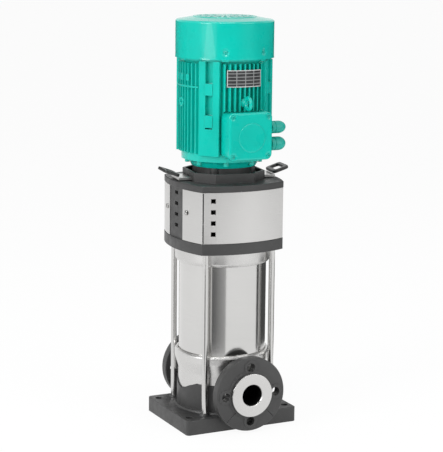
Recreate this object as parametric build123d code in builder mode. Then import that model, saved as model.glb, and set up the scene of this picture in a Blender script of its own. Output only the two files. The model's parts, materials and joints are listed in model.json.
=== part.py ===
from build123d import *
import math
import os

os.makedirs("parts", exist_ok=True)

# A vertical multistage pump with a flange-mounted electric motor, in millimetres.
# The origin is the centre of the base's underside, +Z is up along the shaft,
# and the two ports lie along Y, the suction port towards -Y.

# ---------------------------------------------------------------- base
base_length = 245
base_width = 195
base_thickness = 30
base_corner = 7
base_edge = 1.5
base_bolt_x = 215
base_bolt_y = 150
base_bolt_hole = 7
recess_length = 180
recess_width = 125
recess_depth = 8
socket_radius = 91.6
socket_bore = 85.4
socket_top = 62
socket_play = 0.25
wall_top = 87
wall_dip_top = 71
wall_dip_half = 45
socket_floor = 44
foot_ring_radius = 96.5
foot_ring_height = 4

# ---------------------------------------------------------------- ports
port_height = 80
port_bore = 21.5
port_length = 52
port_tube = 24.15
stub_face = 140
stub_ring_radius = 44
stub_ring_thickness = 6.7
flange_radius = 75
flange_thickness = 20
flange_bore = 25.6
flange_front = 133
flange_relief = 1.6
bolt_circle = 110
flange_hole = 9
boss_radius = 14.5
groove_cut = 2
neck_radius = 32
neck_notch = 34.5
neck_start = 84
neck_end = 104

# ---------------------------------------------------------------- pump casing
sheet = 1.6
housing_shoulder = 64
housing_radius = 89.1
flare_radius = 96.2
flare_start = 110.4
flare_end = 132.7
flare_top = 145.4
rim_top = 149
rim_radius = 94
sleeve_radius = 88.6
sleeve_wall = 2
sleeve_bottom = 114.5
sleeve_top = 351
sleeve_play = 0.15
head_radius = 96.5
head_bottom = 332
head_top = 361
head_rounding = 5
spigot_radius = 86.3
spigot_bottom = 340
spigot_inner = 76
disc_bottom = 349
boss_outer = 34
boss_bottom = 330
seal_bore = 20
seal_floor = 334

# ---------------------------------------------------------------- stages
stage_count = 4
stage_pitch = 50
stage_base = 110
chamber_radius = 80
chamber_wall = 2
casing_eye = 30
impeller_radius = 62
impeller_eye = 28.7
hub_radius = 11.5
shaft_radius = 8
plate_hole = 12
blade_count = 6
vane_count = 8
bush_bore = 8.06
bush_outer = 12.5
bowl_radius = 70
bowl_inlet_bore = 20.5
bowl_inlet_end = 80.5

# ---------------------------------------------------------------- tie rods
rod_radius = 6
rod_spacing = 148
rod_bottom = 12
rod_top = 397
nut_flats = 18
nut_height = 10
washer_radius = 12
washer_thickness = 2.5

# ---------------------------------------------------------------- lantern
lantern_corner = (90, 89)
lantern_bulge = (107, 109)
lantern_rounding = 5
lantern_sill = 383
lantern_lintel = 486
lantern_top = 498
pillar_face = 103.5
pillar_back = 89
pillar_half = 29
tab_face = 99
tab_half = 52
guard_sheet = 1.5
guard_inset = 0.6
guard_edge = 30.5
guard_play = 0.5
vent_size = 9
vent_pitch = 21.9
vent_centre_z = 436
vent_x = -69
pillar_vent_width = 15
pillar_vent_height = 7
pillar_vent_centre_z = 441.7
guard_screw_y = 44
guard_screw_z = 440
pan_turn = -8.5
pan_circumradius = 84
pan_half_angle = 28.25
pan_wall = 5
pan_rim = 516
stool_bore = 47.6
stool_radius = 58
stool_boss = 8.5
flange_face = 525
motor_bolt_circle = 115

# ---------------------------------------------------------------- lifting lugs
lug_turn = -9
lug_inner = 58.5
lug_outer = 101
lug_width = 54
lug_bottom = 500
lug_top = 505
grip_inner = 95
grip_bend = 99.5
grip_end = 130
grip_rise = 10.5
grip_thickness = 6.5
grip_half = 27.5
slot_length = 38
slot_width = 13
lug_bolt_offset = 17
lug_bolt_reach = 63

# ---------------------------------------------------------------- motor
frame_bottom = 540
frame_top = 738
frame_bore = 72
frame_skin = 80
fin_radius = 92
fin_pitch = 10
fin_thickness = 2.6
fin_bottom = 556
fin_top = 733
column_half = 21
column_reach = 93.5
column_bottom = 553
channel_half = 7.5
channel_floor = 84
channel_bottom = 606
pad_levels = ((672, 695), (609, 633))
rabbet = 8
spigot_height = 4
bearing_outer = 26
bearing_inner = 12.5
bearing_seat = 533
rear_bearing_seat = 716
motor_shaft_radius = 12
rotor_radius = 42
air_gap = 0.5
core_bottom = 580
core_top = 690
cover_radius = 98
cover_bottom = 741
cover_shoulder = 806
cover_top = 823
dome_step = 64
cover_sheet = 1.5
cover_screw_angle = 25.4
cover_screw_z = 756
fan_radius = 82
fan_bottom = 758
fan_top = 788

# ---------------------------------------------------------------- terminal box
box_half = 44
box_centre_z = 595
box_seat = 77
box_wall = 3
lid_half = 46.7
lid_back = 108
lid_front = 120
lid_edge = 3.5
lid_screw = 38.5
gland_levels = (608, 575.5)
gland_y = -94
gland_radii = (12.5, 13.8)
gland_end = 88
eye_z = 657.5
eye_y = -105.6
eye_outer = 15
eye_hole = 7
eye_boss_radius = 9
eye_boss_face = 89
plate_half_angle = 23.3
plate_bottom = 688.5
plate_top = 721.5


def ring_profile(*points):
    """A closed face in the XZ plane from radius and height pairs, to turn about Z."""
    with BuildSketch(Plane.XZ) as profile:
        with BuildLine():
            Polyline(*points, close=True)
        make_face()
    return profile.sketch


def lantern_outline(inset):
    """The lantern's plan: a square with outward-bowed sides and rounded corners."""
    corner_x, corner_y = lantern_corner
    side_x, side_y = lantern_bulge
    with BuildSketch() as outline:
        with BuildLine():
            ThreePointArc((-corner_x, -corner_y), (0, -side_y), (corner_x, -corner_y))
            ThreePointArc((corner_x, -corner_y), (side_x, 0), (corner_x, corner_y))
            ThreePointArc((corner_x, corner_y), (0, side_y), (-corner_x, corner_y))
            ThreePointArc((-corner_x, corner_y), (-side_x, 0), (-corner_x, -corner_y))
        make_face()
        fillet(outline.vertices(), lantern_rounding)
        if inset:
            offset(amount=-inset, kind=Kind.INTERSECTION)
    return outline.sketch


def octagon(circumradius):
    """The pan's plan: an octagon with four long and four short sides, turned a little."""
    corners = []
    for side in range(4):
        for sign in (-1, 1):
            angle = math.radians(90 * side + sign * pan_half_angle + pan_turn)
            corners.append((circumradius * math.cos(angle), circumradius * math.sin(angle)))
    with BuildSketch() as outline:
        Polygon(*corners, align=None)
    return outline.sketch


def curved_blade(inner, outer, sweep, width):
    """One backward-swept blade in plan: a band between two arcs."""
    def place(radius, angle):
        return (radius * math.cos(math.radians(angle)), radius * math.sin(math.radians(angle)))

    middle = (inner + outer) / 2
    with BuildSketch() as blade:
        with BuildLine():
            ThreePointArc(place(inner, 0), place(middle, -0.4 * sweep), place(outer, -sweep))
            Line(place(outer, -sweep), place(outer, -sweep - width))
            ThreePointArc(
                place(outer, -sweep - width),
                place(middle, -0.4 * sweep - width),
                place(inner, -width),
            )
            Line(place(inner, -width), place(inner, 0))
        make_face()
    return blade.sketch


def lug_plane(side, height):
    """A horizontal plane in the lugs' turned frame, with X outwards on the given side."""
    angle = math.radians(lug_turn + 180 * side)
    return Plane((0, 0, height), (math.cos(angle), math.sin(angle), 0), (0, 0, 1))


def radial_plane(azimuth, radius, height):
    """A plane facing outwards at an azimuth, with its Y axis along Z."""
    angle = math.radians(azimuth)
    outward = (math.cos(angle), math.sin(angle), 0)
    along = (-math.sin(angle), math.cos(angle), 0)
    return Plane((radius * outward[0], radius * outward[1], height), along, outward)


# ================================================================ base plate
with BuildPart() as base_plate:
    with BuildSketch():
        RectangleRounded(base_length, base_width, base_corner)
    extrude(amount=base_thickness)
    fillet(base_plate.edges().group_by(Axis.Z)[-1], base_edge)
    with BuildSketch(Plane.XY.offset(base_thickness)):
        Circle(foot_ring_radius)
        with GridLocations(rod_spacing, rod_spacing, 2, 2):
            Circle(rod_radius + 4)
    extrude(amount=foot_ring_height, taper=20)
    with BuildSketch(Plane.XY.offset(base_thickness)):
        Circle(socket_radius)
    extrude(amount=socket_top - base_thickness)
    with BuildSketch(Plane.XY.offset(socket_floor)):
        Circle(socket_bore)
    extrude(amount=socket_top - socket_floor, mode=Mode.SUBTRACT)
    with BuildSketch():
        RectangleRounded(recess_length, recess_width, base_corner)
    extrude(amount=recess_depth, mode=Mode.SUBTRACT)
    # round the housing the wall stands higher, with a dip at the middle of each side
    with BuildSketch(Plane.XY.offset(socket_top)):
        Circle(socket_radius)
        Circle(housing_radius + socket_play, mode=Mode.SUBTRACT)
    extrude(amount=wall_top - socket_top)
    with BuildSketch(Plane.YZ):
        with BuildLine():
            Polyline(
                (-wall_dip_half, wall_top + 1),
                (-wall_dip_half, wall_top),
                (-0.64 * wall_dip_half, wall_top - 6),
                (-0.36 * wall_dip_half, wall_dip_top + 4),
                (0, wall_dip_top),
                (0.36 * wall_dip_half, wall_dip_top + 4),
                (0.64 * wall_dip_half, wall_top - 6),
                (wall_dip_half, wall_top),
                (wall_dip_half, wall_top + 1),
                close=True,
            )
        make_face()
    extrude(amount=base_length, both=True, mode=Mode.SUBTRACT)
    # the two necks of the housing pass through the socket's wall
    with BuildSketch(Plane.XZ.offset(-base_width)):
        with Locations((0, port_height)):
            Circle(neck_notch)
    extrude(amount=2 * base_width, mode=Mode.SUBTRACT)
    with BuildSketch():
        with GridLocations(base_bolt_x, base_bolt_y, 2, 2):
            Circle(base_bolt_hole)
    extrude(amount=base_thickness, mode=Mode.SUBTRACT)
    with BuildSketch(Plane.XY.offset(rod_bottom)):
        with GridLocations(rod_spacing, rod_spacing, 2, 2):
            Circle(rod_radius)
    extrude(amount=socket_top, mode=Mode.SUBTRACT)
base_plate.part.label = "base_plate"
export_step(base_plate.part, "parts/base_plate.step")

# ================================================================ housing gasket
with BuildPart() as housing_gasket:
    with BuildSketch(Plane.XY.offset(socket_top)):
        Circle(housing_radius)
        Circle(socket_bore + 0.2, mode=Mode.SUBTRACT)
    extrude(amount=housing_shoulder - socket_top)
    with BuildSketch(Plane.XZ.offset(-base_width)):
        with Locations((0, port_height)):
            Circle(neck_notch)
    extrude(amount=2 * base_width, mode=Mode.SUBTRACT)
housing_gasket.part.label = "housing_gasket"
export_step(housing_gasket.part, "parts/housing_gasket.step")

# ================================================================ pump housing
with BuildPart() as pump_housing:
    add(ring_profile(
        (0, socket_floor),
        (socket_bore - 3, socket_floor),
        (socket_bore, socket_floor + 3),
        (socket_bore, housing_shoulder),
        (housing_radius, housing_shoulder),
        (housing_radius, flare_start),
        (flare_radius, flare_end),
        (flare_radius, flare_top),
        (rim_radius, rim_top),
        (0, rim_top),
    ))
    revolve(axis=Axis.Z)
    # a neck, a tube and a stub ring each way along Y
    for way in (-1, 1):
        with BuildSketch(Plane.YZ):
            with BuildLine():
                Polyline(
                    (way * 40, port_height),
                    (way * 40, port_height + neck_radius),
                    (way * neck_start, port_height + neck_radius),
                    (way * neck_end, port_height + port_tube),
                    (way * (stub_face - stub_ring_thickness), port_height + port_tube),
                    (way * (stub_face - stub_ring_thickness), port_height + stub_ring_radius),
                    (way * stub_face, port_height + stub_ring_radius),
                    (way * stub_face, port_height),
                    close=True,
                )
            make_face()
        revolve(axis=Axis((0, 0, port_height), (0, 1, 0)))
    add(ring_profile(
        (0, socket_floor + sheet),
        (socket_bore - sheet - 3, socket_floor + sheet),
        (socket_bore - sheet, socket_floor + sheet + 3),
        (socket_bore - sheet, housing_shoulder + sheet),
        (housing_radius - sheet, housing_shoulder + sheet),
        (housing_radius - sheet, sleeve_bottom),
        (sleeve_radius + sleeve_play, sleeve_bottom),
        (sleeve_radius + sleeve_play, flare_end),
        (sleeve_radius + 2.5, flare_end),
        (sleeve_radius + 2.5, flare_end + 4),
        (sleeve_radius + sleeve_play, flare_end + 4),
        (sleeve_radius + sleeve_play, rim_top),
        (0, rim_top),
    ))
    revolve(axis=Axis.Z, mode=Mode.SUBTRACT)
    with BuildSketch(Plane.XZ.offset(-stub_face)):
        with Locations((0, port_height)):
            Circle(port_bore)
    extrude(amount=2 * stub_face, mode=Mode.SUBTRACT)
    # inside the necks the bore opens by a millimetre, so each port's wall is a plain length
    with BuildSketch(Plane.XZ.offset(-(stub_face - port_length))):
        with Locations((0, port_height)):
            Circle(port_bore + 1)
    extrude(amount=2 * (stub_face - port_length), mode=Mode.SUBTRACT)
pump_housing.part.label = "pump_housing"
export_step(pump_housing.part, "parts/pump_housing.step")

# ================================================================ loose flanges
for flange_name, flange_way in (("suction_flange", -1), ("discharge_flange", 1)):
    front = Plane((0, flange_way * flange_front, port_height), (1, 0, 0), (0, flange_way, 0))
    with BuildPart() as loose_flange:
        with BuildSketch(front.offset(-flange_relief)):
            Circle(flange_radius)
        extrude(amount=-(flange_thickness - flange_relief))
        fillet(loose_flange.edges(), 1.8)
        with BuildSketch(front):
            with PolarLocations(bolt_circle / 2, 4, start_angle=90):
                Circle(boss_radius)
            Circle(stub_ring_radius + 5)
        extrude(amount=-2 * flange_relief)
        with BuildSketch(front):
            with PolarLocations(bolt_circle / 2, 4, start_angle=90):
                Circle(flange_hole)
            Circle(flange_bore)
        extrude(amount=-flange_thickness, mode=Mode.SUBTRACT)
        # two radial grooves between the lower bosses
        with BuildSketch(front):
            for groove_angle in (225, 315):
                with PolarLocations(stub_ring_radius + 17, 1, start_angle=groove_angle):
                    Rectangle(28, groove_cut)
        extrude(amount=-flange_relief - 1.2, mode=Mode.SUBTRACT)
    loose_flange.part.label = flange_name
    export_step(loose_flange.part, f"parts/{flange_name}.step")

# ================================================================ outer sleeve
with BuildPart() as outer_sleeve:
    with BuildSketch(Plane.XY.offset(sleeve_bottom)):
        Circle(sleeve_radius)
        Circle(sleeve_radius - sleeve_wall, mode=Mode.SUBTRACT)
    extrude(amount=sleeve_top - sleeve_bottom)
outer_sleeve.part.label = "outer_sleeve"
export_step(outer_sleeve.part, "parts/outer_sleeve.step")

with BuildPart() as sleeve_o_rings:
    with BuildSketch(Plane.XY.offset(flare_end + 0.4)):
        Circle(sleeve_radius + 2.4)
        Circle(sleeve_radius, mode=Mode.SUBTRACT)
    extrude(amount=3.2)
    with BuildSketch(Plane.XY.offset(343.4)):
        Circle(sleeve_radius - sleeve_wall)
        Circle(spigot_radius - 2.4, mode=Mode.SUBTRACT)
    extrude(amount=3.2)
sleeve_o_rings.part.label = "sleeve_o_rings"
export_step(sleeve_o_rings.part, "parts/sleeve_o_rings.step")

# ================================================================ pump head
with BuildPart() as pump_head:
    add(ring_profile(
        (seal_bore, head_top),
        (head_radius, head_top),
        (head_radius, head_bottom + head_rounding),
        (head_radius - 2, head_bottom + 2),
        (90, head_bottom),
        (sleeve_radius + sleeve_play, head_bottom),
        (sleeve_radius + sleeve_play, sleeve_top),
        (spigot_radius, sleeve_top),
        (spigot_radius, 347),
        (spigot_radius - 2.5, 347),
        (spigot_radius - 2.5, 343),
        (spigot_radius, 343),
        (spigot_radius, spigot_bottom),
        (spigot_inner, spigot_bottom),
        (spigot_inner, disc_bottom),
        (boss_outer, disc_bottom),
        (boss_outer, boss_bottom),
        (10, boss_bottom),
        (10, seal_floor),
        (seal_bore, seal_floor),
    ))
    revolve(axis=Axis.Z)
    with BuildSketch(Plane.XY.offset(352)):
        with PolarLocations(25, 4, start_angle=45):
            Circle(2.5)
        with Locations((0, 55)):
            Circle(4)
    extrude(amount=head_top - 352, mode=Mode.SUBTRACT)
pump_head.part.label = "pump_head"
export_step(pump_head.part, "parts/pump_head.step")

# ================================================================ hydraulics
# the inlet bowl stands in the housing, joins the suction port and feeds the first eye
with BuildPart() as inlet_bowl:
    add(ring_profile(
        (0, socket_floor + sheet),
        (bowl_radius, socket_floor + sheet),
        (bowl_radius, stage_base - 2),
        (chamber_radius, stage_base - 2),
        (chamber_radius, stage_base),
        (casing_eye, stage_base),
        (casing_eye, stage_base - 2),
        (bowl_radius - 2, stage_base - 2),
        (bowl_radius - 2, 48),
        (16, 48),
        (16, 74),
        (bush_outer, 74),
        (bush_outer, 56),
        (0, 56),
    ))
    revolve(axis=Axis.Z)
    with BuildSketch(Plane.XZ.offset(bowl_radius - 2)):
        with Locations((0, port_height)):
            Circle(bowl_inlet_bore + 3)
    extrude(amount=bowl_inlet_end - bowl_radius + 2)
    with BuildSketch(Plane.XZ.offset(bowl_radius - 8)):
        with Locations((0, port_height)):
            Circle(bowl_inlet_bore)
    extrude(amount=bowl_inlet_end - bowl_radius + 8, mode=Mode.SUBTRACT)
inlet_bowl.part.label = "inlet_bowl"
export_step(inlet_bowl.part, "parts/inlet_bowl.step")

with BuildPart() as lower_bush:
    with BuildSketch(Plane.XY.offset(58)):
        Circle(bush_outer)
        Circle(bush_bore, mode=Mode.SUBTRACT)
    extrude(amount=16)
lower_bush.part.label = "lower_bush"
export_step(lower_bush.part, "parts/lower_bush.step")

impeller_blade = curved_blade(22, impeller_radius - 0.5, 75, 4)
for stage in range(stage_count):
    floor = stage_base + stage * stage_pitch
    with BuildPart() as stage_casing:
        with BuildSketch(Plane.XY.offset(floor)):
            Circle(chamber_radius)
            Circle(chamber_radius - chamber_wall, mode=Mode.SUBTRACT)
        extrude(amount=stage_pitch)
        with BuildSketch(Plane.XY.offset(floor)):
            Circle(chamber_radius - 1)
            Circle(casing_eye, mode=Mode.SUBTRACT)
        extrude(amount=2.5)
        # the return channel: a plate under eight vanes that hold it to the wall
        with BuildSketch(Plane.XY.offset(floor + 20)):
            Circle(chamber_radius - 8)
            Circle(plate_hole, mode=Mode.SUBTRACT)
        extrude(amount=2)
        with BuildSketch(Plane.XY.offset(floor + 21)):
            with PolarLocations(54, vane_count):
                Rectangle(50, 2)
        extrude(amount=stage_pitch - 21.5)
    stage_casing.part.label = f"stage_casing_{stage + 1}"
    export_step(stage_casing.part, f"parts/stage_casing_{stage + 1}.step")

    with BuildPart() as impeller:
        with BuildSketch(Plane.XY.offset(floor + 5)):
            Circle(hub_radius)
        extrude(amount=13)
        with BuildSketch(Plane.XY.offset(floor + 15.5)):
            Circle(impeller_radius)
        extrude(amount=1.5)
        with BuildSketch(Plane.XY.offset(floor + 6)):
            Circle(impeller_radius)
            Circle(impeller_eye - 1.7, mode=Mode.SUBTRACT)
        extrude(amount=1.5)
        with BuildSketch(Plane.XY.offset(floor + 0.5)):
            Circle(impeller_eye)
            Circle(impeller_eye - 1.7, mode=Mode.SUBTRACT)
        extrude(amount=6)
        with BuildSketch(Plane.XY.offset(floor + 7)):
            with PolarLocations(0, blade_count):
                add(impeller_blade)
        extrude(amount=9)
        with BuildSketch(Plane.XY.offset(floor)):
            Circle(shaft_radius)
        extrude(amount=stage_pitch, mode=Mode.SUBTRACT)
    impeller.part.label = f"impeller_{stage + 1}"
    export_step(impeller.part, f"parts/impeller_{stage + 1}.step")

with BuildPart() as shaft_spacers:
    for stage in range(stage_count):
        with BuildSketch(Plane.XY.offset(stage_base + stage * stage_pitch + 18)):
            Circle(hub_radius)
            Circle(shaft_radius, mode=Mode.SUBTRACT)
        extrude(amount=stage_pitch - 13 if stage < stage_count - 1 else 16)
shaft_spacers.part.label = "shaft_spacers"
export_step(shaft_spacers.part, "parts/shaft_spacers.step")

stack_top = stage_base + stage_count * stage_pitch
with BuildPart() as discharge_ring:
    with BuildSketch(Plane.XY.offset(stack_top)):
        Circle(chamber_radius)
        Circle(spigot_inner + 0.5, mode=Mode.SUBTRACT)
    extrude(amount=spigot_bottom - stack_top)
    with BuildSketch(Plane.XY.offset(stack_top + 4)):
        with PolarLocations(chamber_radius, 8):
            Rectangle(16, 34)
    extrude(amount=spigot_bottom - stack_top - 8, mode=Mode.SUBTRACT)
discharge_ring.part.label = "discharge_ring"
export_step(discharge_ring.part, "parts/discharge_ring.step")

with BuildPart() as pump_shaft:
    add(ring_profile(
        (0, 57),
        (shaft_radius, 57),
        (shaft_radius, 76),
        (hub_radius, 76),
        (hub_radius, stage_base + 5),
        (shaft_radius, stage_base + 5),
        (shaft_radius, 439),
        (0, 439),
    ))
    revolve(axis=Axis.Z)
pump_shaft.part.label = "pump_shaft"
export_step(pump_shaft.part, "parts/pump_shaft.step")

impeller_nut_bottom = stage_base + (stage_count - 1) * stage_pitch + 34
with BuildPart() as impeller_nut:
    with BuildSketch(Plane.XY.offset(impeller_nut_bottom)):
        RegularPolygon(12.5, 6)
        Circle(shaft_radius, mode=Mode.SUBTRACT)
    extrude(amount=9)
impeller_nut.part.label = "impeller_nut"
export_step(impeller_nut.part, "parts/impeller_nut.step")

# ================================================================ mechanical seal
with BuildPart() as seal_bellows:
    add(ring_profile(
        (shaft_radius, 334.5),
        (14, 334.5),
        (14, 336.5),
        (11.5, 337.7),
        (14, 338.9),
        (11.5, 340.1),
        (14, 341.3),
        (14, 344),
        (shaft_radius, 344),
    ))
    revolve(axis=Axis.Z)
seal_bellows.part.label = "seal_bellows"
export_step(seal_bellows.part, "parts/seal_bellows.step")

with BuildPart() as seal_rotating_ring:
    with BuildSketch(Plane.XY.offset(344)):
        Circle(15.5)
        Circle(shaft_radius, mode=Mode.SUBTRACT)
    extrude(amount=5.95)
seal_rotating_ring.part.label = "seal_rotating_ring"
export_step(seal_rotating_ring.part, "parts/seal_rotating_ring.step")

with BuildPart() as seal_stationary_ring:
    with BuildSketch(Plane.XY.offset(350)):
        Circle(17.5)
        Circle(shaft_radius + 0.8, mode=Mode.SUBTRACT)
    extrude(amount=7)
seal_stationary_ring.part.label = "seal_stationary_ring"
export_step(seal_stationary_ring.part, "parts/seal_stationary_ring.step")

with BuildPart() as seal_cover:
    add(ring_profile(
        (shaft_radius + 1, 357),
        (17.5, 357),
        (17.5, 351),
        (seal_bore, 351),
        (seal_bore, head_top),
        (30, head_top),
        (30, head_top + 6),
        (shaft_radius + 1, head_top + 6),
    ))
    revolve(axis=Axis.Z)
    with BuildSketch(Plane.XY.offset(head_top)):
        with PolarLocations(25, 4, start_angle=45):
            Circle(2.5)
    extrude(amount=6, mode=Mode.SUBTRACT)
seal_cover.part.label = "seal_cover"
export_step(seal_cover.part, "parts/seal_cover.step")

with BuildPart() as seal_cover_screws:
    with PolarLocations(25, 4, start_angle=45):
        with Locations((0, 0, 354)):
            Cylinder(2.5, head_top + 6 - 354, align=(Align.CENTER, Align.CENTER, Align.MIN))
        with Locations((0, 0, head_top + 6)):
            Cylinder(4.2, 4, align=(Align.CENTER, Align.CENTER, Align.MIN))
seal_cover_screws.part.label = "seal_cover_screws"
export_step(seal_cover_screws.part, "parts/seal_cover_screws.step")

with BuildPart() as vent_plug:
    with BuildSketch(Plane.XY.offset(352)):
        with Locations((0, 55)):
            Circle(4)
    extrude(amount=36)
    with BuildSketch(Plane.XY.offset(388)):
        with Locations((0, 55)):
            RegularPolygon(7.5, 6)
    extrude(amount=8)
vent_plug.part.label = "vent_plug"
export_step(vent_plug.part, "parts/vent_plug.step")

# ================================================================ coupling
for half_name, half_way in (("coupling_half_front", -1), ("coupling_half_rear", 1)):
    with BuildPart() as coupling_half:
        add(ring_profile(
            (shaft_radius, 398),
            (26, 398),
            (27, 399),
            (27, 477),
            (26, 478),
            (motor_shaft_radius, 478),
            (motor_shaft_radius, 440),
            (shaft_radius, 440),
        ))
        revolve(axis=Axis.Z)
        # the halves meet along a split with a small gap for clamping
        with BuildSketch(Plane.XY.offset(390)):
            with Locations((0, -half_way * 29)):
                Rectangle(60, 60)
        extrude(amount=100, mode=Mode.SUBTRACT)
        with BuildSketch(Plane.XZ):
            with Locations((-18, 414), (18, 414), (-18, 462), (18, 462)):
                Circle(3)
        extrude(amount=40, both=True, mode=Mode.SUBTRACT)
        with BuildSketch(Plane.XZ.offset(-half_way * 12)):
            with Locations((-18, 414), (18, 414), (-18, 462), (18, 462)):
                Circle(5.5)
        extrude(amount=-half_way * 20, mode=Mode.SUBTRACT)
    coupling_half.part.label = half_name
    export_step(coupling_half.part, f"parts/{half_name}.step")

with BuildPart() as coupling_screws:
    with BuildSketch(Plane.XZ.offset(-12)):
        with Locations((-18, 414), (18, 414), (-18, 462), (18, 462)):
            Circle(3)
    extrude(amount=24)
    with BuildSketch(Plane.XZ.offset(12)):
        with Locations((-18, 414), (18, 414), (-18, 462), (18, 462)):
            Circle(5)
    extrude(amount=6)
    with BuildSketch(Plane.XZ.offset(-12)):
        with Locations((-18, 414), (18, 414), (-18, 462), (18, 462)):
            RegularPolygon(5.2, 6)
    extrude(amount=-5)
coupling_screws.part.label = "coupling_screws"
export_step(coupling_screws.part, "parts/coupling_screws.step")

# ================================================================ tie rods
with BuildPart() as tie_rods:
    with BuildSketch(Plane.XY.offset(rod_bottom)):
        with GridLocations(rod_spacing, rod_spacing, 2, 2):
            Circle(rod_radius)
    extrude(amount=rod_top - rod_bottom)
    chamfer(tie_rods.edges().group_by(Axis.Z)[-1], 1)
tie_rods.part.label = "tie_rods"
export_step(tie_rods.part, "parts/tie_rods.step")

# flanged nuts clamp the lantern, the head and the housing down on the base
with BuildPart() as tie_rod_nuts:
    with BuildSketch(Plane.XY.offset(lantern_sill)):
        with GridLocations(rod_spacing, rod_spacing, 2, 2):
            Circle(washer_radius)
            Circle(rod_radius, mode=Mode.SUBTRACT)
    extrude(amount=washer_thickness)
    with BuildSketch(Plane.XY.offset(lantern_sill + washer_thickness)):
        with GridLocations(rod_spacing, rod_spacing, 2, 2):
            RegularPolygon(nut_flats / 2, 6, major_radius=False)
            Circle(rod_radius, mode=Mode.SUBTRACT)
    extrude(amount=nut_height)
tie_rod_nuts.part.label = "tie_rod_nuts"
export_step(tie_rod_nuts.part, "parts/tie_rod_nuts.step")

# ================================================================ lantern
outline_full = lantern_outline(0)
guard_outside = lantern_outline(guard_inset)
guard_inside = lantern_outline(guard_inset + guard_sheet)
pan_outside = octagon(pan_circumradius)
pan_inside = octagon(pan_circumradius - pan_wall)
with BuildPart() as lantern:
    with BuildSketch(Plane.XY.offset(head_top)):
        add(outline_full)
        Circle(40, mode=Mode.SUBTRACT)
        with Locations((0, 55)):
            Circle(5, mode=Mode.SUBTRACT)
    extrude(amount=lantern_sill - head_top)
    for way in (-1, 1):
        with BuildSketch(Plane.XY.offset(lantern_sill)):
            with Locations((way * (pillar_face + pillar_back) / 2, 0)):
                Rectangle(pillar_face - pillar_back, 2 * pillar_half)
            with Locations((way * (tab_face + pillar_back) / 2, 0)):
                Rectangle(tab_face - pillar_back, 2 * tab_half)
        extrude(amount=lantern_lintel - lantern_sill)
    with BuildSketch(Plane.XY.offset(lantern_lintel)):
        add(outline_full)
    extrude(amount=lantern_top - lantern_lintel)
    fillet(lantern.edges().group_by(Axis.Z)[-1], 1.5)
    # an open octagonal pan round the stool that carries the motor
    with BuildSketch(Plane.XY.offset(lantern_top)):
        add(pan_outside)
        add(pan_inside, mode=Mode.SUBTRACT)
    extrude(amount=pan_rim - lantern_top)
    with BuildSketch(Plane.XY.offset(lantern_top)):
        Circle(stool_radius)
        with PolarLocations(motor_bolt_circle / 2, 4, start_angle=45):
            Circle(stool_boss)
    extrude(amount=flange_face - lantern_top)
    with BuildSketch(Plane.XY.offset(lantern_lintel)):
        Circle(stool_bore)
    extrude(amount=flange_face - lantern_lintel, mode=Mode.SUBTRACT)
    with BuildSketch(Plane.XY.offset(lantern_lintel)):
        with PolarLocations(motor_bolt_circle / 2, 4, start_angle=45):
            Circle(4.2)
    extrude(amount=flange_face - lantern_lintel, mode=Mode.SUBTRACT)
    with BuildSketch(Plane.XY.offset(head_top)):
        with GridLocations(rod_spacing, rod_spacing, 2, 2):
            Circle(rod_radius + 0.3)
    extrude(amount=lantern_sill - head_top, mode=Mode.SUBTRACT)
    # slots in the pan's wall and seats for the two lifting lugs
    for side in (0, 1):
        with BuildSketch(lug_plane(side, lantern_top)):
            with Locations((74, 0)):
                Rectangle(22, lug_width + 1)
        extrude(amount=lug_top + 0.5 - lantern_top, mode=Mode.SUBTRACT)
        with BuildSketch(lug_plane(side, lantern_top - 0.5)):
            with Locations((lug_bolt_reach, lug_bolt_offset), (lug_bolt_reach, -lug_bolt_offset)):
                Rectangle(8, 14)
        extrude(amount=lug_bottom - lantern_top + 0.5)
        with BuildSketch(lug_plane(side, lantern_lintel)):
            with Locations((lug_bolt_reach, lug_bolt_offset), (lug_bolt_reach, -lug_bolt_offset)):
                Circle(2.5)
        extrude(amount=lug_bottom - lantern_lintel, mode=Mode.SUBTRACT)
    # square openings in each pillar, and threads for the guard screws
    with BuildSketch(Plane.YZ):
        with Locations((0, pillar_vent_centre_z)):
            with GridLocations(1, vent_pitch, 1, 4):
                Rectangle(pillar_vent_width, pillar_vent_height)
        with Locations((guard_screw_y, guard_screw_z), (-guard_screw_y, guard_screw_z)):
            Circle(2.5)
    extrude(amount=120, both=True, mode=Mode.SUBTRACT)
lantern.part.label = "lantern"
export_step(lantern.part, "parts/lantern.step")

for guard_name, guard_way in (("coupling_guard_front", -1), ("coupling_guard_rear", 1)):
    with BuildPart() as guard:
        with BuildSketch(Plane.XY.offset(lantern_sill + guard_play)):
            add(guard_outside)
            add(guard_inside, mode=Mode.SUBTRACT)
            with Locations((0, guard_way * (guard_edge - 100))):
                Rectangle(300, 200, mode=Mode.SUBTRACT)
        extrude(amount=lantern_lintel - lantern_sill - 2 * guard_play)
        with BuildSketch(Plane.XZ.offset(-guard_way * 60)):
            with Locations((-guard_way * vent_x, vent_centre_z)):
                with GridLocations(1, vent_pitch, 1, 4):
                    Rectangle(vent_size, vent_size)
        extrude(amount=-guard_way * 60, mode=Mode.SUBTRACT)
        with BuildSketch(Plane.YZ):
            with Locations((guard_way * guard_screw_y, guard_screw_z)):
                Circle(2.5)
        extrude(amount=120, both=True, mode=Mode.SUBTRACT)
    guard.part.label = guard_name
    export_step(guard.part, f"parts/{guard_name}.step")

with BuildPart() as guard_screws:
    for way in (-1, 1):
        with BuildSketch(Plane.YZ.offset(way * 92)):
            with Locations((guard_screw_y, guard_screw_z), (-guard_screw_y, guard_screw_z)):
                Circle(2.5)
        extrude(amount=way * 12)
        with BuildSketch(Plane.YZ.offset(way * 103.2)):
            with Locations((guard_screw_y, guard_screw_z), (-guard_screw_y, guard_screw_z)):
                Circle(5)
        extrude(amount=way * 3.3)
guard_screws.part.label = "guard_screws"
export_step(guard_screws.part, "parts/guard_screws.step")

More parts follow.
